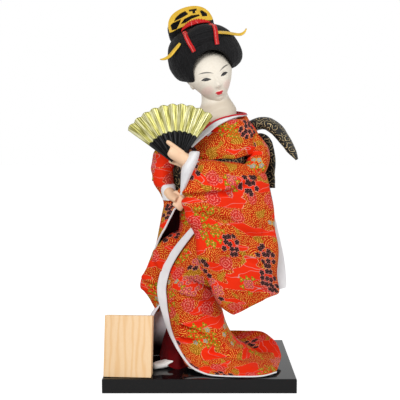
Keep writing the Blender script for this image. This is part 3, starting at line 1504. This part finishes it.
def right_hand():
    along = unit(WRIST_RIGHT - ELBOW_RIGHT)

    def at(reach, side, drop):
        return WRIST_RIGHT + along * reach + np.array([side, 0, drop])

    rows = [
        (*at(-1, 0, 0), 4.2, 4.2), (*at(3, 0.8, 0.4), 4.6, 3.8),
        (*at(7, 2.6, 1.4), 5, 3.2), (*at(10.5, 4.6, 2.6), 4.6, 2.8),
    ]
    shells = [closed_shell(path_loops(rows, 24, 20, (0.5, -0.6, 0.6)))]
    shells.append(wrist_shell(ELBOW_RIGHT, WRIST_RIGHT, 1))
    shells.append(rod_of([at(4, 3.4, 3), at(7, 6.8, 4.8), at(9.5, 9.4, 4.6)], 2.0))
    for i in range(FINGERS):
        shells.append(rod_of([
            at(9, 5.6 - 1.5 * i, 4 - 1.9 * i), at(11.4, 8 - 1.5 * i, 3 - 1.9 * i),
            at(11, 10.2 - 1.5 * i, 0.8 - 1.9 * i), at(9.4, 10.8 - 1.4 * i, -0.6 - 1.8 * i),
        ], FINGER_RADIUS))
    return shells


for name, node, body, shells in (
    ("left_hand_moulded", "hand_left", LEFT_HAND, left_hand()),
    ("right_hand_moulded", "hand_right", RIGHT_HAND, right_hand()),
):
    hand = fused(name, shells, FLESH, "hand_flesh", node, body, on_deck, *HAND_MELT)
    print(name, "points:", len(hand.data.vertices))

# %% [markdown]
# ## Fan
# The open fan has a leaf of pale gold foil in ten pleats and black lacquered sticks below it. Folded
# paper opens to shallow zigzags whose outer edge is scalloped, and the sticks show as rounded ribs
# with a scalloped top. Single sticks could be set side by side, but both parts are swept in one go
# round the rivet, with the zigzag softened, so that leaf and sticks keep the same pleats.

# %% Fan
FAN_PIVOT = np.array([-17, -45, 163.3])
FAN_RADIUS = 47
STICK_RADIUS = 26.5
STICK_ROOT = 5
FAN_START = 54
FAN_SPREAD = 90
FAN_PLEATS = 10
PLEAT_RISE = 0.055
PLEAT_STEPS = 14
PLEAT_SOFT = 0.98
FAN_ROWS = 24
LEAF_LAP = 2


def pleated(inner, outer, scallop, rise, forward=0.0):
    """A sector of pleats round the rivet, from its scalloped edge inwards."""
    turns = np.linspace(0, FAN_PLEATS, FAN_PLEATS * PLEAT_STEPS + 1)
    angle = np.radians(FAN_START + FAN_SPREAD * turns / FAN_PLEATS)
    zigzag = np.arcsin(np.cos(2 * math.pi * turns) * PLEAT_SOFT) / (math.pi / 2)
    bulge = scallop * (np.abs(np.sin(math.pi * turns)) - 1)
    rows = []
    for share in np.linspace(1, 0, FAN_ROWS):
        radius = inner + (outer + bulge - inner) * share
        depth = zigzag * rise * radius / 2 - forward
        rows.append(np.stack([radius * np.cos(angle), depth, radius * np.sin(angle)], axis=1))
    return np.array(rows) + FAN_PIVOT


leaf_grid = pleated(STICK_RADIUS - LEAF_LAP, FAN_RADIUS + 0.4, 1.3, PLEAT_RISE)
leaf = cloth("fan_leaf_foil", leaf_grid, FOIL, "fan_gold", "fan_leaf", LEFT_HAND, thick=0.3)
rows, columns = leaf_grid.shape[:2]
turns, shares = np.meshgrid(np.linspace(0, FAN_PLEATS, columns), np.linspace(0, 1, rows))
keep_place(leaf, np.stack([turns, shares, 0 * turns], axis=2), PLEAT_PLACE)
cut_from(leaf_grid)
stick_grid = pleated(STICK_ROOT, STICK_RADIUS + 0.6, 1.1, PLEAT_RISE * 1.25, forward=0.5)
cloth("fan_stick_ribs", stick_grid, STICK_BLACK, "fan_black", "fan_sticks", LEFT_HAND, thick=0.9)
repaint("fan_rivet", GOLD)
print("fan opens", FAN_SPREAD, "degrees")

# %% [markdown]
# ## Head
# The head is bent, tilted and turned. It could be modelled at that slant, but its forms are easier to
# judge upright, so head, hair and ornaments are written in a frame of their own and turned once. The
# paint needs places on the face too, so each point keeps its place in that frame.

# %% Head frame
HEAD_WIDTH = 39
HEAD_DEPTH = 43
HEAD_HEIGHT = 44
HEAD_ROLL = 17
HEAD_YAW = 12
HEAD_LEAN = 6
HEAD_CENTRE = (8, -2, 232.4)
FACE_PLACE = "face_place"

HEAD_TURN = (
    Matrix.Rotation(math.radians(-HEAD_ROLL), 3, "Y")
    @ Matrix.Rotation(math.radians(HEAD_LEAN), 3, "X")
    @ Matrix.Rotation(math.radians(HEAD_YAW), 3, "Z")
)
HEAD_AXES = np.array(HEAD_TURN)


def in_head(points):
    return on_deck(points @ HEAD_AXES.T + np.array(HEAD_CENTRE))


def seen_from_head(points):
    """Places in metres as they are in the head's frame, in millimetres."""
    return (np.array(points) / MM - np.array([0, 0, DECK]) - np.array(HEAD_CENTRE)) @ HEAD_AXES


def head_places(made):
    return seen_from_head([v.co for v in made.data.vertices])


print("head leans", HEAD_LEAN, "rolls", HEAD_ROLL, "and turns", HEAD_YAW, "degrees")

# %% [markdown]
# ### Face paint
# Brows, eyes and lips are painted with a fine brush. They could be a picture laid on the face, but
# strokes drawn from a middle, a length, a lean and an arch stay sharp at any size. A stroke is drawn
# on both sides at once, by the distance from the middle line, and the hairline is fine strokes too.

# %% Face paint
IVORY = rgb(238, 231, 217)
IVORY_SHADE = rgb(226, 216, 200)
INK = rgb(10, 8, 8)
LIP_RED = rgb(212, 24, 42)
BLUSH = rgb(240, 186, 180)
NECK_SHADE = rgb(204, 191, 172)
EYE_WHITE = rgb(206, 200, 192)
MOUTH_LINE = rgb(120, 16, 30)
NOSTRIL = rgb(150, 110, 100)
HAIRLINE = rgb(44, 40, 40)
EYE_MIDDLE = 7.6
EYE_HALF = 3.7
BROW_MIDDLE = 8.0
BROW_HALF = 5.6
BROW_SHIFT = 1.7


def face_paint():
    r = Recipe("face_white")
    place = r.kept(FACE_PLACE)
    x, y, z = r.parts(place)
    side = abs(x)
    front = r.step(y * -1, 2.0, 6.0)

    def stroke(middle, half, height, lean, arch, thick, soft, shift=0.0):
        """A tapered brush stroke on both sides of the face."""
        run = (abs(x - shift) - middle) / half
        line = run * lean - run * run * arch + height
        body = (1 - run * run) * thick
        inside = r.step(body - abs(z - line), -soft, soft)
        return inside * (abs(run) < 1.0) * front

    def oval(cx, cz, rx, rz, soft):
        dx = (x - cx) / rx
        dz = (z - cz) / rz
        return (1 - r.step(dx * dx + dz * dz, 1 - soft, 1 + soft)) * front

    speckle = r.noise(place, 1.4, 3.0, flat=False)
    skin = r.mix(speckle, IVORY_SHADE, IVORY)
    cheek = (side - 8.4) / 5.0
    drop = (z + 8.6) / 4.4
    warmth = 1 - r.step(cheek * cheek + drop * drop, 0.0, 1.2)
    skin = r.mix(warmth * front * 0.34, skin, BLUSH)
    under_chin = r.step(z * -1, 17.0, 22.0) * r.step(y, -17.0, -13.0)
    throat = under_chin.most(r.step(z * -1, 21.0, 27.0))
    skin = r.mix(throat, skin, NECK_SHADE)
    crease = stroke(EYE_MIDDLE, EYE_HALF * 1.1, 2.2, 0.6, 0.7, 0.18, 0.12)
    skin = r.mix(crease * 0.35, skin, INK)
    brow = stroke(BROW_MIDDLE, BROW_HALF, 5.4, 1.3, 1.1, 0.56, 0.14, BROW_SHIFT)
    skin = r.mix(brow * 0.8, skin, INK)
    lid = stroke(EYE_MIDDLE, EYE_HALF, 0.3, 0.55, 0.45, 1.3, 0.12)
    slit = stroke(EYE_MIDDLE, EYE_HALF * 0.74, -0.3, 0.45, 0.3, 0.34, 0.1)
    gaze = side - EYE_MIDDLE
    iris = 1 - r.step(gaze * gaze + z * z, 2.8, 3.6)
    skin = r.mix(lid, skin, INK)
    skin = r.mix(slit * (1 - iris) * 0.7, skin, EYE_WHITE)
    lip_top = oval(-1.3, -12.3, 1.95, 0.8, 0.25).most(oval(1.3, -12.3, 1.95, 0.8, 0.25))
    lips = lip_top.most(oval(0.0, -13.4, 2.3, 0.95, 0.25))
    mouth = oval(0.0, -12.8, 2.9, 0.24, 0.5)
    skin = r.mix(lips, skin, LIP_RED)
    skin = r.mix(mouth * 0.6, skin, MOUTH_LINE)
    nostril = oval(-1.2, -8.3, 0.5, 0.25, 0.5).most(oval(1.2, -8.3, 0.5, 0.25, 0.5))
    skin = r.mix(nostril * 0.3, skin, NOSTRIL)
    strand = r.noise(r.vector("MULTIPLY", place, (1, 1, 0.07)), 0.5, 1.0, flat=False)
    reach = r.step(x * x * 0.022 + z, 14.6, 20.4)
    hairline = r.step(strand + reach * 0.5, 0.74, 0.9) * front
    skin = r.mix(hairline * 0.8, skin, HAIRLINE)
    return r.finish({
        "Base Color": skin,
        "Roughness": 0.5 - lips * 0.2 + speckle * 0.06,
        "Normal": r.bump(speckle, 0.0001, 0.15),
        "Specular IOR Level": 0.4,
    })


FACE = face_paint()
print("face nodes:", len(FACE.node_tree.nodes))

# %% [markdown]
# ### Head and neck
# The head is an egg of level loops whose points crowd towards the face. A sum of soft bumps raises
# nose, lids, lips, cheeks and chin there, which is easier to tune than single points moved by hand.
# The neck with the chest plate and the ears are lofts of their own that run into it.

# %% Head and neck
NECK = [
    (189.6, 14, 0, 16.2, 16.2), (193, 14, 0, 16.6, 16.6), (199, 14, 0, 16.4, 16.4),
    (203, 14.2, 0, 15.8, 15.8), (207.5, 14.9, 0, 14.9, 13.8), (211, 14.6, -0.2, 13.2, 12.6),
    (215, 13.4, -0.6, 11.6, 11.4), (219, 12.2, -1, 10.8, 10.8), (223, 11.2, -0.8, 10.8, 11.2),
    (227, 10.2, 0, 11.4, 12.4), (231, 9.4, 1, 12, 14),
]
FACE_CROWD = 0.55
JAW_TOP = 4
EAR_PLACE = (15.5, -2)
EAR = [(4, 0.5, 0.8), (1.5, 2.0, 2.8), (-1, 2.3, 3.2), (-3.4, 2.0, 2.8), (-5.2, 1.0, 1.4)]


def bump_at(x, z, cx, cz, wide, high):
    return np.exp(-(((x - cx) / wide) ** 2) - ((z - cz) / high) ** 2)


def relief(x, z):
    """How far the face stands out from a plain egg, in millimetres."""
    side = np.abs(x)
    nose = 1.7 * bump_at(x, z, 0, -6.8, 1.9, 2.2) + 0.8 * bump_at(x, z, 0, -2.4, 1.7, 4)
    wings = 0.5 * bump_at(side, z, 1.9, -7.4, 1.0, 1.0)
    sockets = -0.9 * bump_at(side, z, 6.6, 1.0, 4.2, 2.4)
    lids = 0.5 * bump_at(side, z, 7.0, 0.2, 3.4, 1.3)
    cheeks = 0.8 * bump_at(side, z, 9, -7.5, 5, 5)
    lips = 0.9 * bump_at(x, z, 0, -12.4, 2.8, 0.8) + 0.9 * bump_at(x, z, 0, -13.9, 2.4, 0.8)
    mouth = -0.35 * bump_at(x, z, 0, -13.1, 2.8, 0.3) - 0.5 * bump_at(x, z, 0, -16, 3.2, 1.0)
    groove = -0.3 * bump_at(x, z, 0, -10.4, 0.8, 1.2)
    chin = 1.0 * bump_at(x, z, 0, -19.4, 4.2, 2.6)
    return nose + wings + sockets + lids + cheeks + lips + mouth + groove + chin


def head_grid(around=220, levels=150):
    tilt = (-0.5 + np.linspace(0.02, 0.98, levels)) * math.pi
    even = np.radians(np.linspace(90, 450, around + 1))
    angle = (even - FACE_CROWD * np.cos(even))[None, :]
    z = (HEAD_HEIGHT / 2 * np.sin(tilt))[:, None]
    low = np.maximum(-z / (HEAD_HEIGHT / 2), 0)
    front = np.maximum(-np.sin(angle), 0)
    full = (np.cos(tilt) ** 0.86)[:, None]
    below = np.clip((JAW_TOP - z) / 26, 0, 1)
    jaw = np.minimum(0.34 * low ** 1.15 + 0.58 * (1 - front) ** 2 * below, 0.8)
    x = HEAD_WIDTH / 2 * full * (1 - jaw) * np.cos(angle)
    shown = np.clip((front - 0.25) * 3, 0, 1)
    y = HEAD_DEPTH / 2 * full * (1 - 0.4 * low * (1 - front)) * np.sin(angle) - relief(x, z) * shown
    return np.stack([x, y, np.broadcast_to(z, x.shape)], axis=2)


def ear_shell(side):
    x, y = EAR_PLACE
    return closed_shell(level_loops([(z, side * x, y, wide, deep) for z, wide, deep in EAR], 24, 16))


def neck_shell():
    points, faces = closed_shell(level_loops(NECK, 72, 60))
    return (points - np.array(HEAD_CENTRE)) @ HEAD_AXES, faces


head_shells = [closed_shell(head_grid()), neck_shell(), ear_shell(1), ear_shell(-1)]
head_mesh = shell_mesh("painted_head", head_shells, in_head)
head = link("painted_head", head_mesh, FACE, "face_white", "head", HEAD)
keep_place(head, head_places(head), FACE_PLACE)
print("head points:", len(head_mesh.vertices))

# %% [markdown]
# ## Hair
# The hair is drawn up over pads into wide side rolls, a tuft over the brow and a knot behind the
# comb. Single hairs could be grown, but at this size only the grooves between locks are seen. So
# every form is melted smooth, then scored along the way it is combed: a point's turn about the crown
# tells which strand it is in, and both the mesh and the finish follow that.

# %% Hair finish and strands
CROWN = np.array([0.0, 4.0, 30.0])
STRAND_PLACE = "strand_place"
STRAND_TURNS = 34
STRAND_RUN = 0.22
SCORE_DEPTH = 0.28


def hair_finish():
    r = Recipe("hair_black")
    place = r.kept(STRAND_PLACE)
    lock = r.noise(place, 0.9, 2.0, flat=False)
    strand = r.noise(place, 0.22, 3.0, flat=False)
    return r.finish({
        "Base Color": r.mix(r.step(strand, 0.35, 0.7), rgb(4, 4, 5), rgb(24, 23, 25)),
        "Roughness": strand * 0.22 + 0.4,
        "Normal": r.bump(strand + lock, 0.0006, 0.8),
        "Specular IOR Level": 0.12,
    })


HAIR = hair_finish()


def strands(places, pole, along):
    """For each point a place that runs slowly along a strand and quickly across it."""
    away = places - pole
    side = np.cross(along, [0.0, 0.0, 1.0] if abs(along[2]) < 0.9 else [0.0, 1.0, 0.0])
    side = unit(side)
    other = np.cross(along, side)
    turn = np.arctan2(away @ other, away @ side)
    run = np.linalg.norm(away, axis=1)
    around = [STRAND_TURNS * np.cos(turn), STRAND_TURNS * np.sin(turn)]
    return np.stack([*around, run * STRAND_RUN], axis=1)


def combed(made, pole, along):
    """Scores the melted hair along its strands, and keeps the strands for the finish."""
    along = unit(np.array(along, float))
    lines = strands(head_places(made), np.array(pole, float), along)
    keep_place(made, lines, STRAND_PLACE)
    vertices = made.data.vertices
    points = np.zeros(3 * len(vertices), np.float32)
    normals = np.zeros_like(points)
    vertices.foreach_get("co", points)
    vertices.foreach_get("normal", normals)
    score = [noise.noise(Vector(p * 1.1)) + 0.5 * noise.noise(Vector(p * 2.3)) for p in lines]
    moves = normals * np.repeat(score, 3).astype(np.float32) * SCORE_DEPTH * MM
    vertices.foreach_set("co", points + moves)
    made.data.update()


print("strand turns:", STRAND_TURNS)

# %% [markdown]
# ### Hair forms
# The side rolls, the nape, the tuft and the knot are single lofts. The rolls are cut back from the
# face by a block with the face's arched outline, which gives a cleaner hairline than points moved by
# hand, and the left roll's lower corner is brought forward over the cheek.

# %% Hair forms
HAIR_FORM = [
    (1.6, 3.4, 6, 21.4, 16), (4.6, 3.4, 5, 26.6, 20.6), (10, 2.9, 4, 29.5, 23),
    (17, 2, 3.2, 30, 24.6), (26, 1.2, 2.4, 27.8, 24.4), (33, 0.6, 2, 24, 21.5),
    (38, 0.2, 1.8, 18, 17), (41, 0, 1.6, 10, 10),
]
NAPE = [
    (4, 1, 12, 16, 10.4), (-2, 1.6, 13.2, 12.6, 10), (-8, 2, 14.4, 9.4, 9),
    (-13, 2, 15.2, 6, 6.4), (-15.5, 2, 15.6, 2.6, 3),
]
FRONT_ROLL = [
    (11.4, -14.6, 27, 6, 6), (6, -15.2, 31.4, 8.4, 7.6), (0, -15, 32.6, 9, 8),
    (-6, -15.2, 31.4, 8.4, 7.6), (-11.4, -14.6, 27, 6, 6),
]
BUN = [
    (29, 0.6, 17, 12, 9), (35, 1, 17.5, 18.4, 12.5), (42, 1.2, 17, 19.4, 13),
    (48, 1.2, 16, 18.2, 11.5), (53.4, 0.8, 15, 12.8, 8), (56.4, 0.4, 14.6, 4.6, 3.4),
]
FACE_ARCH = (17.6, 25.2, -4)
FACE_ASIDE = 0.5
FACE_SQUARE = 2.2
LEFT_CORNER = np.array([3.4, -6.4, -3.8])
LEFT_CLOSE = 1.6
OPENING_SIDES = 64
OPENING_REACH = (-46, -6)
HAIR_MELT = (0.55, 8)
ACROSS = (1, 0, 0)


def left_corner(grid):
    """Brings the left roll's lower front corner forward over the cheek."""
    x, y, z = np.moveaxis(grid, -1, 0)
    share = np.clip((15 - z) / 11, 0, 1) * np.clip((-4 - x) / 9, 0, 1) * np.clip((5 - y) / 11, 0, 1)
    share = share * share * (3 - 2 * share)
    return grid + share[..., None] * LEFT_CORNER


def face_opening():
    """A block of the face's arched outline, to cut the hair back."""
    turn = np.linspace(0, 2 * math.pi, OPENING_SIDES + 1)
    wide, high, middle = FACE_ARCH
    across = FACE_ASIDE + wide * rounded(np.cos(turn), FACE_SQUARE)
    up = middle + high * rounded(np.sin(turn), FACE_SQUARE)
    across += LEFT_CLOSE * np.clip((11 - up) / 10, 0, 1) * (across < 0)
    rims = [np.stack([across, np.full_like(up, y), up], axis=1) for y in OPENING_REACH]
    mesh = shell_mesh("face_opening", [closed_shell(np.array(rims))], in_head)
    made = bpy.data.objects.new("face_opening", mesh)
    scene.collection.objects.link(made)
    return made


def hair_piece(name, node, grid, pole, along, cutter=None):
    shells = [closed_shell(grid)]
    made = fused(name, shells, HAIR, "hair_black", node, HEAD, in_head, *HAIR_MELT, cutter)
    combed(made, pole, along)
    return made


side_rolls = left_corner(level_loops(HAIR_FORM, 120, 70))
hair_main = hair_piece("hair_side_rolls", "hair_main", side_rolls, CROWN, UPWARD, face_opening())
hair_piece("hair_nape", "hair_back", level_loops(NAPE, 80, 40), (0, 8, 30), UPWARD)
tuft_grid = path_loops(FRONT_ROLL, 60, 50, FRONTWARD)
hair_front = hair_piece("hair_front_tuft", "hair_front", tuft_grid, (0, 2, 26), ACROSS)
hair_piece("hair_knot", "hair_bun", level_loops(BUN, 90, 50), (0, 16, 40), ACROSS)
print("hair points:", len(hair_main.data.vertices))

# %% [markdown]
# ## Comb
# A gilded openwork comb stands before the knot. Openings could be cut out of a plate one by one, but
# a flat curve with several outlines fills itself between them and gets its thickness and its eased
# edges in the same step.

# %% Comb
COMB_PLACE = (-1.5, 2.2, 42.8)
COMB_TIP = 16
COMB_HALF = 18.5
COMB_RISE = 16
COMB_HORN = 3.4
COMB_THICKNESS = 1.4
COMB_EDGE = 0.3
COMB_OPENINGS = [
    [(-0.66, 0.47), (-0.52, 0.64), (-0.3, 0.76), (-0.03, 0.82), (0.05, 0.62), (-0.3, 0.53)],
    [(-0.88, 0.08), (-0.86, 0.34), (-0.72, 0.42), (-0.34, 0.47), (-0.5, 0.24), (-0.68, 0.06)],
    [(-0.42, 0.24), (-0.2, 0.44), (0.16, 0.51), (0.5, 0.44), (0.5, 0.37), (0.1, 0.34), (-0.2, 0.24)],
    [(0.13, 0.82), (0.48, 0.76), (0.45, 0.67), (0.37, 0.67),
     (0.37, 0.56), (0.24, 0.58), (0.26, 0.71), (0.13, 0.72)],
    [(0.6, 0.3), (0.57, 0.6), (0.68, 0.6), (0.84, 0.36), (0.8, 0.24)],
]


def bezier(a, b, c, d, count):
    t = np.linspace(0, 1, count, endpoint=False)[:, None]
    a, b, c, d = (np.array(p, float) for p in (a, b, c, d))
    return (1 - t) ** 3 * a + 3 * t * (1 - t) ** 2 * b + 3 * t ** 2 * (1 - t) * c + t ** 3 * d


def comb_outlines():
    """The crescent's outline and its openings, across and up, in millimetres."""
    half, rise, inner = COMB_HALF, COMB_RISE, COMB_HALF - COMB_HORN
    rim = np.concatenate([
        bezier((-half, 0), (-half * 1.02, rise * 0.72), (-half * 0.55, rise), (0, rise), 24),
        bezier((0, rise), (half * 0.55, rise), (half * 1.02, rise * 0.72), (half, 0), 24),
        bezier((half, 0), (half, -0.4), (inner, -0.4), (inner, 0), 4),
        bezier((inner, 0), (half * 0.5, rise * 0.12), (-half * 0.5, rise * 0.12), (-inner, 0), 24),
        bezier((-inner, 0), (-inner, -0.4), (-half, -0.4), (-half, 0), 4),
    ])
    return [rim] + [np.array(corners) * (half, rise) for corners in COMB_OPENINGS]


def comb_plate():
    """A filled curve with holes and rounded edges, stood up in the hair."""
    curve = bpy.data.curves.new("openwork_comb", "CURVE")
    curve.dimensions = "2D"
    curve.fill_mode = "BOTH"
    curve.extrude = COMB_THICKNESS / 2 - COMB_EDGE
    curve.bevel_depth = COMB_EDGE
    curve.offset = -COMB_EDGE
    for outline in comb_outlines():
        line = curve.splines.new("POLY")
        line.points.add(len(outline) - 1)
        for point, (across, up) in zip(line.points, outline):
            point.co = (across, up, 0, 1)
        line.use_cyclic_u = True
    drawn = bpy.data.objects.new("comb_drawing", curve)
    scene.collection.objects.link(drawn)
    graph = bpy.context.evaluated_depsgraph_get()
    mesh = bpy.data.meshes.new_from_object(drawn.evaluated_get(graph))
    bpy.data.objects.remove(drawn)
    flat = np.array([v.co for v in mesh.vertices])
    tip = math.radians(COMB_TIP)
    y = flat[:, 1] * math.sin(tip) - flat[:, 2] * math.cos(tip)
    z = flat[:, 1] * math.cos(tip) + flat[:, 2] * math.sin(tip)
    points = in_head(np.stack([flat[:, 0], y, z], axis=1) + np.array(COMB_PLACE)) * MM
    mesh.vertices.foreach_set("co", points.astype(np.float32).ravel())
    mesh.materials.clear()
    face_out(mesh)
    made = link("openwork_comb", mesh, GOLD, "ornament_gold", "comb", HEAD)
    made.data.shade_flat()


comb_plate()
print("comb openings:", len(COMB_OPENINGS))

# %% [markdown]
# ## Ribbons
# Two red ribbons pass over the tuft, with a row of white stitches along each edge. Their paths could
# be guessed in space, but it is surer to lay them on the hair: each place goes to the nearest point
# of the hair's surface, and a little outside it.

# %% Ribbons
RIBBON_LEFT = [
    (11.4, -9, 41.4), (11.2, -14.4, 39), (10.2, -19.6, 35.8), (9.2, -22.6, 30), (8.4, -23, 23.6),
]
RIBBON_RIGHT = [
    (-11.6, -9, 41.4), (-12.4, -14, 38.6), (-12.8, -18.6, 35), (-12.2, -21, 29.6),
    (-11.4, -21.6, 23.6),
]
RIBBON_WIDTH = 3.4
RIBBON_THICK = 0.7
RIBBON_LIFT = 0.6
STITCH_PITCH = 0.0011
STITCH_ASIDE = 0.0026
RIBBON_RIB = 0.0004


def ribbon_finish():
    r = Recipe("ribbon_red")
    u, v, _ = r.parts(r.flat())
    edge = 1 - r.step(abs(abs(u) - STITCH_ASIDE), 0.0002, 0.0004)
    stitch = edge * r.step((v / STITCH_PITCH).wave(), 0.0, 0.4)
    rib = (v / RIBBON_RIB).wave()
    return r.finish({
        "Base Color": r.mix(stitch * 0.7, rgb(188, 10, 14), rgb(240, 180, 170)),
        "Roughness": 0.42 + stitch * 0.2,
        "Normal": r.bump(rib * 0.4 + stitch, 0.0001, 0.5),
        "Specular IOR Level": 0.25,
    })


RIBBON = ribbon_finish()


def hair_surface():
    """The tuft and the rolls as one search tree."""
    points = []
    faces = []
    for piece in (hair_main, hair_front):
        faces += [tuple(i + len(points) for i in face.vertices) for face in piece.data.polygons]
        points += [v.co for v in piece.data.vertices]
    return BVHTree.FromPolygons(points, faces)


HAIR_SURFACE = hair_surface()


def laid(rows, lift):
    """Places in the head's frame moved on to the hair, a little outside it."""
    found = [HAIR_SURFACE.find_nearest(Vector(p * MM))[0] for p in in_head(np.asarray(rows, float))]
    places = seen_from_head(found)
    return places + unit(places - CROWN + np.array([0, 0, 10])) * lift


def from_crown(point, share):
    return (point[0] * 0.4, point[1] - 2, point[2] - 18)


def ribbon(name, node, path):
    places = laid(smooth_rows(path, 9), RIBBON_LIFT)
    rows = [(*p, RIBBON_WIDTH / 2, RIBBON_THICK) for p in places]
    grid = path_loops(rows, 28, 70, from_crown, 3.4)
    cloth(name, grid, RIBBON, "ribbon_red", node, HEAD, in_head, thick=0)


ribbon("left_ribbon", "ribbon_left", RIBBON_LEFT)
ribbon("right_ribbon", "ribbon_right", RIBBON_RIGHT)
print("ribbons", RIBBON_WIDTH, "mm wide")

# %% [markdown]
# ## Toothed band
# At the comb's foot stands a red band with a toothed upper edge. It could be drawn like the comb, but
# a small sheet is enough: an arch whose height swings with a wave of thirteen teeth, set aslant
# before the comb.

# %% Toothed band
BAND_WIDTH = 25
BAND_RISE = 7.4
BAND_TEETH = 13
BAND_THICKNESS = 1.6
BAND_LEAN = -30
BAND_PLACE = (-5.6, 41.2)


def toothed_band():
    half = BAND_WIDTH / 2
    share = np.linspace(0, 1, BAND_TEETH * 8 + 1)
    x = -half + BAND_WIDTH * share
    arch = BAND_RISE * np.sin(math.pi * share) ** 0.7
    teeth = 0.91 + 0.09 * np.cos(2 * math.pi * BAND_TEETH * share)
    low = BAND_RISE * 0.75 * 4 * share * (1 - share) * 0.5
    rows = [low + (arch * teeth - low) * step for step in np.linspace(1, 0, 9)]
    grid = np.array([np.stack([x, np.zeros_like(x), row], axis=1) for row in rows])
    lean = math.radians(BAND_LEAN)
    y = BAND_PLACE[0] - grid[..., 2] * math.sin(lean)
    z = BAND_PLACE[1] + grid[..., 2] * math.cos(lean)
    return np.stack([grid[..., 0], y, z], axis=2)


cloth("red_toothed_band", toothed_band(), RIBBON, "ribbon_red", "comb_band", HEAD, in_head,
      thick=BAND_THICKNESS)
print("band teeth:", BAND_TEETH)

# %% [markdown]
# ## Pins
# Two flat gilt pins with curled tips stick out at the sides. Each is a flat tube along a path. Its
# depth could be set by eye, but a ray from the front finds the hair, so that no pin sinks into it.

# %% Pins
PIN_LEFT = [
    (11.5, -21, 32.2), (14.5, -19.6, 31.4), (18, -16.6, 30.4), (22.6, -13.4, 28.8),
    (27.4, -10.2, 26.8), (32, -9.4, 25.2), (35.8, -9.2, 26), (38.2, -9.2, 28.2),
]
PIN_RIGHT = [
    (-17.8, -13.4, 32.6), (-20, -13.6, 31.2), (-22, -13.8, 30), (-24.6, -14, 28.4),
    (-27.8, -14.2, 26.4), (-31.4, -14.5, 25.1), (-34.4, -14.8, 25), (-37, -15, 25.6),
]
PIN_WIDTH = 3
PIN_THICKNESS = 1.1
PIN_TAPER = [0.8, 1, 1, 1, 1, 0.85, 0.6, 0.25]
FAR_AHEAD = 60.0


def before_hair(rows, lift):
    """Places brought forward along the head's depth until they clear the hair."""
    cleared = []
    for x, y, z in rows:
        ray = in_head(np.array([(x, -FAR_AHEAD, z), (x, 1 - FAR_AHEAD, z)])) * MM
        start, ahead = (Vector(p) for p in ray)
        found = HAIR_SURFACE.ray_cast(start, ahead - start)[0]
        depth = (found - start).length / MM - FAR_AHEAD - lift if found else y
        cleared.append((x, min(y, depth), z))
    return cleared


def pin(name, node, path):
    """A flat gilt strip that lies on the hair and curls free at its tip."""
    rows = before_hair(path, PIN_THICKNESS / 2)
    strip = [(*p, PIN_WIDTH / 2 * part, PIN_THICKNESS / 2) for p, part in zip(rows, PIN_TAPER)]
    mesh = shell_mesh(name, [closed_shell(path_loops(strip, 20, 60, from_crown, 3.0))], in_head)
    link(name, mesh, GOLD, "ornament_gold", node, HEAD)


pin("left_gilt_pin", "hairpin_left", PIN_LEFT)
pin("right_gilt_pin", "hairpin_right", PIN_RIGHT)
print("pins", PIN_WIDTH, "mm wide")

# %% [markdown]
# ## Floor and light
# The photograph is a plain studio shot on white. A pale floor runs out under the doll, and the world
# is white to the camera and to reflections. The world alone could light the doll, but its folds would
# have no shade. So two large soft lamps shine from the front left and the right, and the world only
# fills in.

# %% Floor and light
FLOOR_SIZE = 6.0
FLOOR_DROP = 0.0002
FLOOR_GREY = 0.46
FLOOR_GLOW = 0.9
FILL = 0.27


def grey(level):
    return (level, level, level, 1)


def seen(r):
    """One for what the camera sees, straight, in gloss or through glass, and nought for light."""
    path = r.node("ShaderNodeLightPath", {}, {}, "Is Camera Ray")
    return path.most(path.out("Is Glossy Ray")).most(path.out("Is Transmission Ray"))


def floor_finish():
    r = Recipe("studio_floor")
    return r.finish({
        "Base Color": grey(FLOOR_GREY),
        "Roughness": 1.0,
        "Specular IOR Level": 0.0,
        "Emission Color": r.mix(seen(r), grey(0), grey(FLOOR_GLOW)),
        "Emission Strength": 1.0,
    })


def studio_floor():
    half = FLOOR_SIZE / 2
    corners = [(-half, -half, 0), (half, -half, 0), (half, half, 0), (-half, half, 0)]
    mesh = bpy.data.meshes.new("studio_floor")
    mesh.from_pydata(corners, [], [(0, 1, 2, 3)])
    mesh.materials.append(floor_finish())
    floor = bpy.data.objects.new("studio_floor", mesh)
    scene.collection.objects.link(floor)
    floor.location.z = -FLOOR_DROP


def studio_world():
    r = Recipe("studio", "worlds")
    sockets = {"Value": seen(r), "To Min": FILL, "To Max": 1.0}
    strength = r.node("ShaderNodeMapRange", {}, sockets)
    light = r.node("ShaderNodeBackground", {}, {"Color": grey(1), "Strength": strength})
    r.node("ShaderNodeOutputWorld", {}, {"Surface": light})
    scene.world = r.holder


def lamp(name, place, size, watts, aim=(0, 0, 0.15)):
    data = bpy.data.lights.new(name, "AREA")
    data.shape = "SQUARE"
    data.size = size
    data.energy = watts
    made = bpy.data.objects.new(name, data)
    made.location = place
    made.rotation_euler = (Vector(aim) - Vector(place)).to_track_quat("-Z", "Y").to_euler()
    scene.collection.objects.link(made)


studio_floor()
studio_world()
lamp("key", (-0.46, -1.0, 0.62), 0.5, 9.8)
lamp("side", (0.85, -0.55, 0.4), 0.7, 5.0)
print("floor", FLOOR_SIZE, "m wide, two lamps lit")

# %% [markdown]
# ## Sizes
# The clothes may stand a little proud of the solids, and no more. Both boxes are written down, so
# that they can be compared after each render.

# %% Sizes and finish
print("sizes written")
